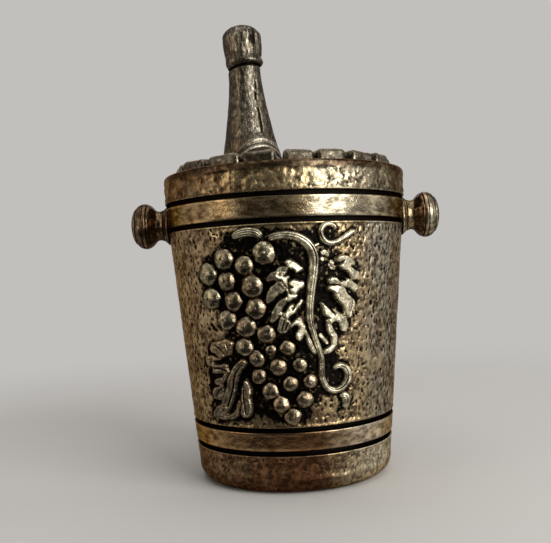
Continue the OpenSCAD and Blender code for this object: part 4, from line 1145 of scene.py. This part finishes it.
def make_relief(grapes, vine, dull):
    """The grapevine on the front of the wall: grapes, stem, tendril, bud, curl and leaves."""
    stem = [line_mesh(STEM, 1.6, (0.3,), 0.16, STEM_WIDENING), line_mesh(SPUR, 0.9)]
    tendril = line_mesh(TENDRIL, 1.15, (0.4,), 0.1, TENDRIL_WIDENING)
    bud = line_mesh(BUD, 1.1, (0.0,), 0.2)
    curl = line_mesh(CURL, 1.15, (-0.55, -0.1, 0.35), 0.3)
    left = [leaf_mesh(LEFT_LEAF, UPPER_LEAF_GROWTH, 41), line_mesh(STALK, 1.15, (0.2,), 0.12)]
    right = leaf_mesh(RIGHT_LEAF, UPPER_LEAF_GROWTH, 43)
    lower = leaf_mesh(LOWER_LEAF, LOWER_LEAF_GROWTH, 45)
    for name, node, metal, parts in (
        ("grapes", "grape_cluster", grapes, [grape(*row) for row in GRAPES]),
        ("stem_cast", "vine_stem", vine, stem),
        ("tendril_cast", "upper_tendril", vine, [tendril]),
        ("bud_cast", "vine_bud", vine, [bud]),
        ("curl_cast", "curled_leaf", vine, [curl]),
        ("left_leaf_cast", "left_leaf", vine, left),
        ("right_leaf_cast", "right_leaf", vine, [right]),
        ("lower_leaf_cast", "lower_leaf", dull, [lower]),
    ):
        piece_of_parts(name, parts, metal, "bucket", node)


# The lid

ICE_WIDTH = 6.6
ICE_DEPTH = 5.9
ICE_HEIGHT = 3.8
ICE_STEPS = 16
ICE_SOFT = 1.15
ICE_SEED = 51
RING_GAP = 0.55
RING_HEIGHTS = [1, 0.96, 1.02, 0.94, 1, 0.98, 1.03]
RING_LEANS = [-3, 2, 3, -2, 1]
# Turn of each block of the ring from the front, as a share of a full turn
RING_TURNS = [
    -0.146, -0.085, -0.031, 0.021, 0.069, 0.12, 0.176, 0.232, 0.289, 0.346, 0.403, 0.46, 0.516, 0.573, 0.63,
    0.686, 0.743, 0.799,
]
RING_INSET = 0.026
RING_MIDDLE = PLATE_RADIUS * (1 - RING_INSET) - ICE_DEPTH / 2
# Blocks of the heap: turn, share of the plate's radius, own turn, height and size
HEAP = [
    (0, 0.585, 6, 1.1, 1.06), (36, 0.585, -8, 1.04, 1.04), (72, 0.585, 5, 1.12, 1.06),
    (108, 0.585, -4, 1.02, 1.02), (-36, 0.585, 9, 1.12, 1.04), (-72, 0.585, -6, 1.06, 1.06),
    (-108, 0.585, 3, 1.1, 1.02), (139, 0.635, 8, 0.98, 0.78), (-139, 0.635, -7, 1, 0.78),
    (0, 0.22, -7, 1.26, 0.86), (66, 0.3, 12, 1.2, 0.86), (-66, 0.3, -10, 1.22, 0.86),
]
HEAP_GROWTH = 1.16


def turned(x, y, z):
    """A turn about X, then Y, then Z, in degrees."""
    m = Matrix.Rotation(math.radians(z), 3, "Z") @ Matrix.Rotation(math.radians(y), 3, "Y")
    return np.array(m @ Matrix.Rotation(math.radians(x), 3, "X"))


def cube_grid(n):
    """Points on the six sides of a cube from -1 to 1, and its squares, with shared edges."""
    t = np.linspace(-1, 1, n + 1)
    a, b = np.meshgrid(t, t, indexing="ij")
    one = np.ones_like(a)
    sides = [(one, a, b), (-one, b, a), (b, one, a), (a, -one, b), (a, b, one), (b, a, -one)]
    points = np.vstack([np.stack(side, axis=-1).reshape(-1, 3) for side in sides])
    square = np.array(ring_faces(n + 1, n + 1, wrap=False))
    faces = np.vstack([square + k * (n + 1) ** 2 for k in range(len(sides))])
    _, index, inverse = np.unique(np.round(points, 6), axis=0, return_index=True, return_inverse=True)
    return points[index], inverse.ravel()[faces].tolist()


def ice_block(seed, size, taper, matrix, place):
    """One worn block of ice: soft corners, dented faces, wider on its outer side, cut flat on the plate."""
    points, faces = cube_grid(ICE_STEPS)
    half = np.asarray(size, float) / 2
    core = np.maximum(half - ICE_SOFT, 0.1)
    inner = np.clip(points * half, -core, core)
    out = points * half - inner
    length = np.linalg.norm(out, axis=1)[:, None]
    shaped = inner + out / np.maximum(length, 1e-6) * np.minimum(length, ICE_SOFT)
    shaped[:, 1] *= 1 + taper * shaped[:, 0] / half[0]
    shaped = shaped * (0.97 + 0.03 * noise(shaped + seed * 17.0, 2.4, seed)[:, None])
    shaped = shaped * (1 + 0.012 * noise(shaped + seed * 11.0, 0.7, seed + 1)[:, None])
    placed = shaped @ matrix.T + np.asarray(place)
    placed[:, 2] = np.maximum(placed[:, 2], PLATE_TOP)
    up = (placed[:, 2] - PLATE_TOP) / half[2]
    edge = np.sort(np.abs(points), axis=1)[:, 1]
    cavity = 1 - smooth(up, 0.0, 0.45)
    wear = smooth(up, 0.7, 0.95) * (0.15 + 0.6 * smooth(edge, 0.5, 0.85))
    return placed, faces, cavity, wear


def make_ice(name, node, blocks, metal):
    parts = [ice_block(seed, *block) for seed, block in enumerate(blocks, ICE_SEED)]
    piece_of_parts(name, parts, metal, "lid", node)


def ring_blocks():
    """Blocks round the rim, each as wide as its nearest neighbour leaves room for."""
    blocks = []
    turns_round = np.array(RING_TURNS) * 360
    after = np.append(turns_round[1:], turns_round[0] + 360) - turns_round
    rooms = np.minimum(after, np.roll(after, 1))
    for i, (turn, room) in enumerate(zip(turns_round, rooms)):
        narrow, wide = (2 * (RING_MIDDLE + away) * math.sin(math.radians(room / 2)) - RING_GAP
                        for away in (-ICE_DEPTH / 2, ICE_DEPTH / 2))
        around = turned(0, 0, turn - 90)
        lean = turned(*(RING_LEANS[(i + shift) % len(RING_LEANS)] for shift in (0, 2, 1)))
        size = (ICE_DEPTH, (narrow + wide) / 2, 2 * ICE_HEIGHT * RING_HEIGHTS[i % len(RING_HEIGHTS)])
        taper = (wide - narrow) / (narrow + wide)
        blocks.append((size, taper, around @ lean, around @ np.array([RING_MIDDLE, 0, PLATE_TOP])))
    return blocks


def heap_blocks():
    """Blocks inside the ring, round the bottle."""
    blocks = []
    for angle, away, own, high, share in HEAP:
        around = turned(0, 0, angle)
        lean = turned(own / 3, -own / 4, own)
        grown = HEAP_GROWTH * share
        size = (grown * ICE_DEPTH, grown * ICE_WIDTH, 2 * ICE_HEIGHT * high)
        blocks.append((size, 0.0, around @ lean, around @ np.array([PLATE_RADIUS * away, 0, PLATE_TOP])))
    return blocks


BOTTLE_HEIGHT = 38.55
BOTTLE_X = -7.35
BOTTLE_LEAN = math.radians(2.3)
BOTTLE_COLUMNS = 260
BOTTLE_ROWS = 260
TOP_ROWS = 30
SHOULDER_RADIUS = 8.61
NECK_RADIUS = 4.05
FOIL_RADIUS = 4.85
# Shares of the bottle's height
NECK_START = 0.69
FOIL_START = 0.73
FOIL_FULL = 0.9
RING_PLACE = 0.755
TOP_START = 0.915
TOP_SHARE = 0.085
TOP_POWER = 2.1
CUT_PLACE = 0.722
SECOND_CUT_PLACE = 0.80
HEAD_REACH = (0.76, 0.82, 0.985, 1.0)
SEAM_REACH = (0.2, 0.26, 0.6, 0.66)
HEM_LEVEL = 0.115
HEM_BOW = 0.085
# Folds of the foil's hem: how far above its lower edge, and weight
HEM_FOLDS = ((0.0, 1.0), (0.045, 0.6))
# Angles from the front, in degrees: middle and half width of the hem's bow, and the seam with its width
BOW_ANGLES = (28, 58)
SEAM_ANGLES = (34, 3.2)


def bottle_radius(t, ring_share):
    """The bottle's radius at a share of its height: shoulder, neck, ring, foil and rounded top."""
    neck = NECK_RADIUS + (SHOULDER_RADIUS - NECK_RADIUS) * (1 - np.minimum(1, t / NECK_START)) ** 1.45
    up = np.clip((t - FOIL_START) / (FOIL_FULL - FOIL_START), 0, 1)
    foil = (FOIL_RADIUS - NECK_RADIUS) * (1 - (1 - up) ** 2)
    ring = FOIL_RADIUS * 0.13 * ring_share * bell(t, RING_PLACE, 0.022)
    over = np.clip((t - TOP_START) / TOP_SHARE, 0, 1)
    return (neck + foil + ring) * np.maximum(1 - over ** TOP_POWER, 0) ** (1 / TOP_POWER)


def bottle_hem(t, a):
    """The scalloped folds of the foil's hem and the valleys under them, at height t and angle a."""
    bow = np.clip(1 - ((a - BOW_ANGLES[0]) / BOW_ANGLES[1]) ** 2, 0, 1)
    level = HEM_LEVEL + HEM_BOW * bow
    folds = [(level + offset, weight) for offset, weight in HEM_FOLDS]
    hem = np.max([weight * bell(t, place, 0.013) for place, weight in folds], axis=0)
    valley = np.max([weight * bell(t, place - 0.027, 0.012) for place, weight in folds], axis=0)
    return hem, valley


def leaned(points):
    """Leans the bottle to the left and stands it on the plate."""
    c, s = math.cos(BOTTLE_LEAN), math.sin(BOTTLE_LEAN)
    x, y, z = np.moveaxis(points, -1, 0)
    return np.stack([x * c - z * s + BOTTLE_X, y, np.maximum(x * s + z * c + PLATE_TOP, PLATE_TOP)], axis=-1)


def make_bottle(metal):
    """The bottle's neck with a creased foil, a groove under the ring, a broken seam and a scalloped hem."""
    t = np.linspace(-0.03, TOP_START, BOTTLE_ROWS, endpoint=False)
    t = np.append(t, 1 - TOP_SHARE * np.linspace(1, 0.02, TOP_ROWS) ** 1.6)
    turn = turns(BOTTLE_COLUMNS)
    # Angles from the front, which is at -90 degrees of turn, to the right
    a = (np.degrees(turn)[None, :] - 270 + 180) % 360 - 180
    t, a = np.broadcast_arrays(t[:, None], a)
    z = BOTTLE_HEIGHT * t

    def round_noise(radius, stretch, size, seed):
        """Noise on a cylinder, so that it has no seam."""
        round_x, round_y = (radius * part + 0 * t for part in (np.cos(turn), np.sin(turn)))
        return noise(np.stack([round_x, round_y, stretch * z], axis=-1), size, seed)

    folds = round_noise(6, 0.35, 1.5, 71) * 0.16 + round_noise(6, 0.35, 0.7, 72) * 0.07
    rough = round_noise(5, 1.0, 1.6, 73)
    grit = round_noise(5, 0.6, 0.6, 76)
    head = band(t, *HEAD_REACH)
    cut = bell(t, CUT_PLACE + 0.01 * np.sin(np.radians(a + 30)), 0.008)
    second = bell(t, SECOND_CUT_PLACE - 0.006 * np.sin(np.radians(a)), 0.006) * 0.5
    down = np.stack([z, 0 * z, 0 * z], axis=-1)
    seam = bell(a, SEAM_ANGLES[0] + 5 * noise(down, 2.2, 74), SEAM_ANGLES[1])
    seam = seam * smooth(noise(down, 0.8, 75), -0.25, 0.1) * band(t, *SEAM_REACH)
    hem, valley = bottle_hem(t, a)

    r = bottle_radius(np.clip(t, 0, 1), 0.4 + 0.6 * smooth(np.sin(np.radians(a)), -0.5, 0.8))
    deep = 0.34 * cut + 0.15 * second + 0.28 * seam + 0.15 * valley
    r = r + head * (folds - 0.1) * 0.9 + 0.05 * (rough - 1) + 0.035 * (grit - 1) - deep + 0.32 * hem
    r = np.maximum(r, 0.05)
    grid = np.stack([r * np.cos(turn), r * np.sin(turn), z], axis=-1)
    poles = np.array([[0, 0, 0], [0, 0, BOTTLE_HEIGHT - 0.05]])

    carved = np.clip(cut * 1.1 + second * 0.8 + seam + valley * 0.8, 0, 1)
    under = (1 - smooth(t, 0.06, 0.16)) * 0.8
    cavity = most(carved, under, head * smooth(-folds, 0.02, 0.16) * 0.8, smooth(-grit, 0.2, 0.6) * 0.3)
    # Brighter hem folds: wear together with painted highlight; the foil's ridges are brighter from wear.
    hem_highlight_and_wear = np.clip(1.1 * hem + head * smooth(folds, 0.0, 0.15) * 0.8, 0, 1)
    wear = most(hem_highlight_and_wear, smooth(grit, 0.1, 0.5) * 0.3)
    piece("bottle_cast", leaned(joined(grid, poles)), closed_faces(len(t), BOTTLE_COLUMNS), metal,
          "lid", "bottle", np.append(cavity, [1, 0]), np.append(wear, [0, 0]))


# Studio: a pale bowl, black cards, soft lights and the photo's camera

STAGE_COLOUR = (0.54, 0.525, 0.505)
# Distances from the middle between which the bowl's paper turns into an even tone
PAPER_REACH = (60, 300)
BOWL_COLUMNS = 96
BOWL_DROP = 0.05
CARD_COLOUR = (0.012, 0.012, 0.012)
CARD_ROUGHNESS = 0.9
AIR_COLOUR = (0.55, 0.55, 0.56)
# Name, azimuth, elevation, distance, width and height in metres, radiance and colour
LIGHTS = (
    ("key_window", 42, 14, 0.55, 0.38, 0.50, 6.5, (1.0, 1.0, 0.97)),
    ("side_right", 92, 10, 0.60, 0.20, 0.45, 0.9, (1.0, 0.98, 0.95)),
    ("warm_left", -60, 10, 0.60, 0.20, 0.50, 1.5, (1.0, 0.84, 0.62)),
    ("overhead", 0, 88, 0.75, 0.7, 0.7, 1.0, (1.0, 1.0, 1.0)),
    ("back_rim", 180, 35, 0.70, 0.5, 0.4, 1.0, (1.0, 0.98, 0.95)),
)
LIGHT_AIM = (0, 0, 0.05)
# The camera fitted to the photo: pixels, millimetres and degrees
PHOTO_WIDTH = 551
FOCAL_PIXELS = 746.5
SHIFT_PIXELS = -12.09
CAMERA_PLACE = (0, -184.3, 48.5)
CAMERA_ROLL = -2.55
SENSOR = 36.0


def stage_material():
    """Pale and matt near the object, and an even pale tone further out."""
    p = Paint("stage_paper")
    p.tree.nodes.remove(p.shader)
    paper = p.node("BsdfDiffuse", {"Color": STAGE_COLOUR})[0]
    glow = p.node("Emission", {"Color": STAGE_COLOUR, "Strength": 1.0})[0]
    rays = p.node("LightPath")
    seen = p.calc("MAXIMUM", rays["Is Camera Ray"], rays["Is Glossy Ray"])
    seen = p.calc("MAXIMUM", seen, rays["Is Transmission Ray"])
    away = p.node("VectorMath", {0: p.place}, operation="LENGTH")["Value"]
    mixed = p.node("MixShader", {0: p.times(seen, p.span(away, *PAPER_REACH)), 1: paper, 2: glow})[0]
    p.plug(p.tree.nodes["Material Output"].inputs["Surface"], mixed)
    return p.material


def make_stage():
    """A round bowl: flat under the object and curved up all round, so no edge shows from any side."""
    rows = [(60, 0), (200, 0), (500, 0)] + arc((800, 700), 700, -90, 0, 24) + [(1500, 1600)]
    points = joined(spun(rows, BOWL_COLUMNS), [[0, 0, 0]])
    points[:, 2] -= BOWL_DROP
    faces = ring_faces(len(rows), BOWL_COLUMNS)
    faces += fan(len(points) - 1, list(range(BOWL_COLUMNS)), flip=True)
    mesh = new_mesh("studio_bowl", points, [face[::-1] for face in faces], stage_material())
    mesh.shade_smooth()
    linked("studio_bowl", mesh)


def card(name, start, end, columns, edges, material):
    """A black card that only reflections see: two edges (radius, height) swept from angle to angle."""
    turn = np.radians(np.linspace(start, end, columns))
    points = [(r * math.sin(a), -r * math.cos(a), z) for r, z in edges for a in turn]
    made = linked(name, new_mesh(name, points, ring_faces(2, columns, wrap=False), material))
    made.visible_camera = False
    made.visible_diffuse = False
    made.visible_shadow = False


def make_cards():
    """Cards behind the camera and on the floor, which give the metal its dark middle and underside."""
    black = Paint("card_black").finish({"Base Color": CARD_COLOUR, "Roughness": CARD_ROUGHNESS})
    card("upright_card", -42, 4, 12, ((500, 0.0), (500, 340)), black)
    card("floor_card", -70, 24, 16, ((50, 0.2), (300, 0.2)), black)


def softbox(name, azimuth, elevation, distance, width, height, radiance, colour):
    """An area light that faces the object. Azimuth 0 is the camera's side, and 90 is the right."""
    a, e = math.radians(azimuth), math.radians(elevation)
    back = np.array([math.sin(a) * math.cos(e), -math.cos(a) * math.cos(e), math.sin(e)])
    lamp = bpy.data.lights.new(name, "AREA")
    lamp.shape = "RECTANGLE"
    lamp.size = width
    lamp.size_y = height
    lamp.energy = radiance * math.pi * width * height
    lamp.color = colour
    light = linked(name, lamp)
    light.location = np.array(LIGHT_AIM) + back * distance
    light.rotation_euler = Vector(-back).to_track_quat("-Z", "Y").to_euler()
    light.visible_camera = False


def make_lights():
    """Soft lights round the object, and a pale air behind them."""
    for row in LIGHTS:
        softbox(*row)
    world = bpy.data.worlds.new("studio_air")
    world.use_nodes = True
    air = world.node_tree.nodes["Background"]
    air.inputs["Color"].default_value = (*AIR_COLOUR, 1)
    air.inputs["Strength"].default_value = 1.0
    bpy.context.scene.world = world


def make_camera():
    """The photo's camera: level, in front of the relief, rolled a little."""
    camera = bpy.data.cameras.new("photo_camera")
    camera.sensor_fit = "HORIZONTAL"
    camera.sensor_width = SENSOR
    camera.lens = FOCAL_PIXELS / PHOTO_WIDTH * SENSOR
    camera.shift_x = SHIFT_PIXELS / PHOTO_WIDTH
    camera.clip_start = 0.005
    camera.clip_end = 10.0
    made = linked("photo_camera", camera)
    made.location = [MM * part for part in CAMERA_PLACE]
    roll = Matrix.Rotation(math.radians(CAMERA_ROLL), 3, "Z")
    made.rotation_euler = (Matrix.Rotation(math.pi / 2, 3, "X") @ roll).to_euler()
    bpy.context.scene.camera = made


def dress_nodes():
    """The CAD solids that stay in sight get turned metal."""
    brass = spun_metal("spun_brass", (0.30, 0.22, 0.11), (0.46, 0.36, 0.19), 0.32)
    steel = spun_metal("turned_steel", (0.36, 0.36, 0.35), (0.52, 0.52, 0.51), 0.28)
    for node, metal in (
        ("lid_plate", plate_metal()), ("pick_tray", brass), ("pull_rod", steel),
        ("knob_screws", steel), ("bottle_screw", steel),
    ):
        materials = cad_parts[node].data.materials
        materials.clear()
        materials.append(metal)


bpy.context.scene.view_settings.view_transform = "Standard"
make_camera()
make_stage()
make_cards()
make_lights()
metals = {name: antique(name, **look) for name, look in METALS.items()}
make_bucket(metals["wall_bronze"])
make_hoop("upper_hoop_band", *UPPER_HOOP, metals["hoop_bronze"], "upper_hoop")
make_hoop("lower_hoop_band", *LOWER_HOOP, metals["hoop_bronze"], "lower_hoop")
make_knob("right_knob_turned", 0.0, 3, metals["knob_bronze"], "right_knob")
make_knob("left_knob_turned", math.pi, 4, metals["knob_bronze"], "left_knob")
make_relief(metals["grape_bronze"], metals["vine_bronze"], metals["leaf_bronze"])
make_ice("ice_ring_blocks", "ice_ring", ring_blocks(), metals["dark_pewter"])
make_ice("ice_heap_blocks", "ice_heap", heap_blocks(), metals["dark_pewter"])
make_bottle(metals["bottle_pewter"])
dress_nodes()
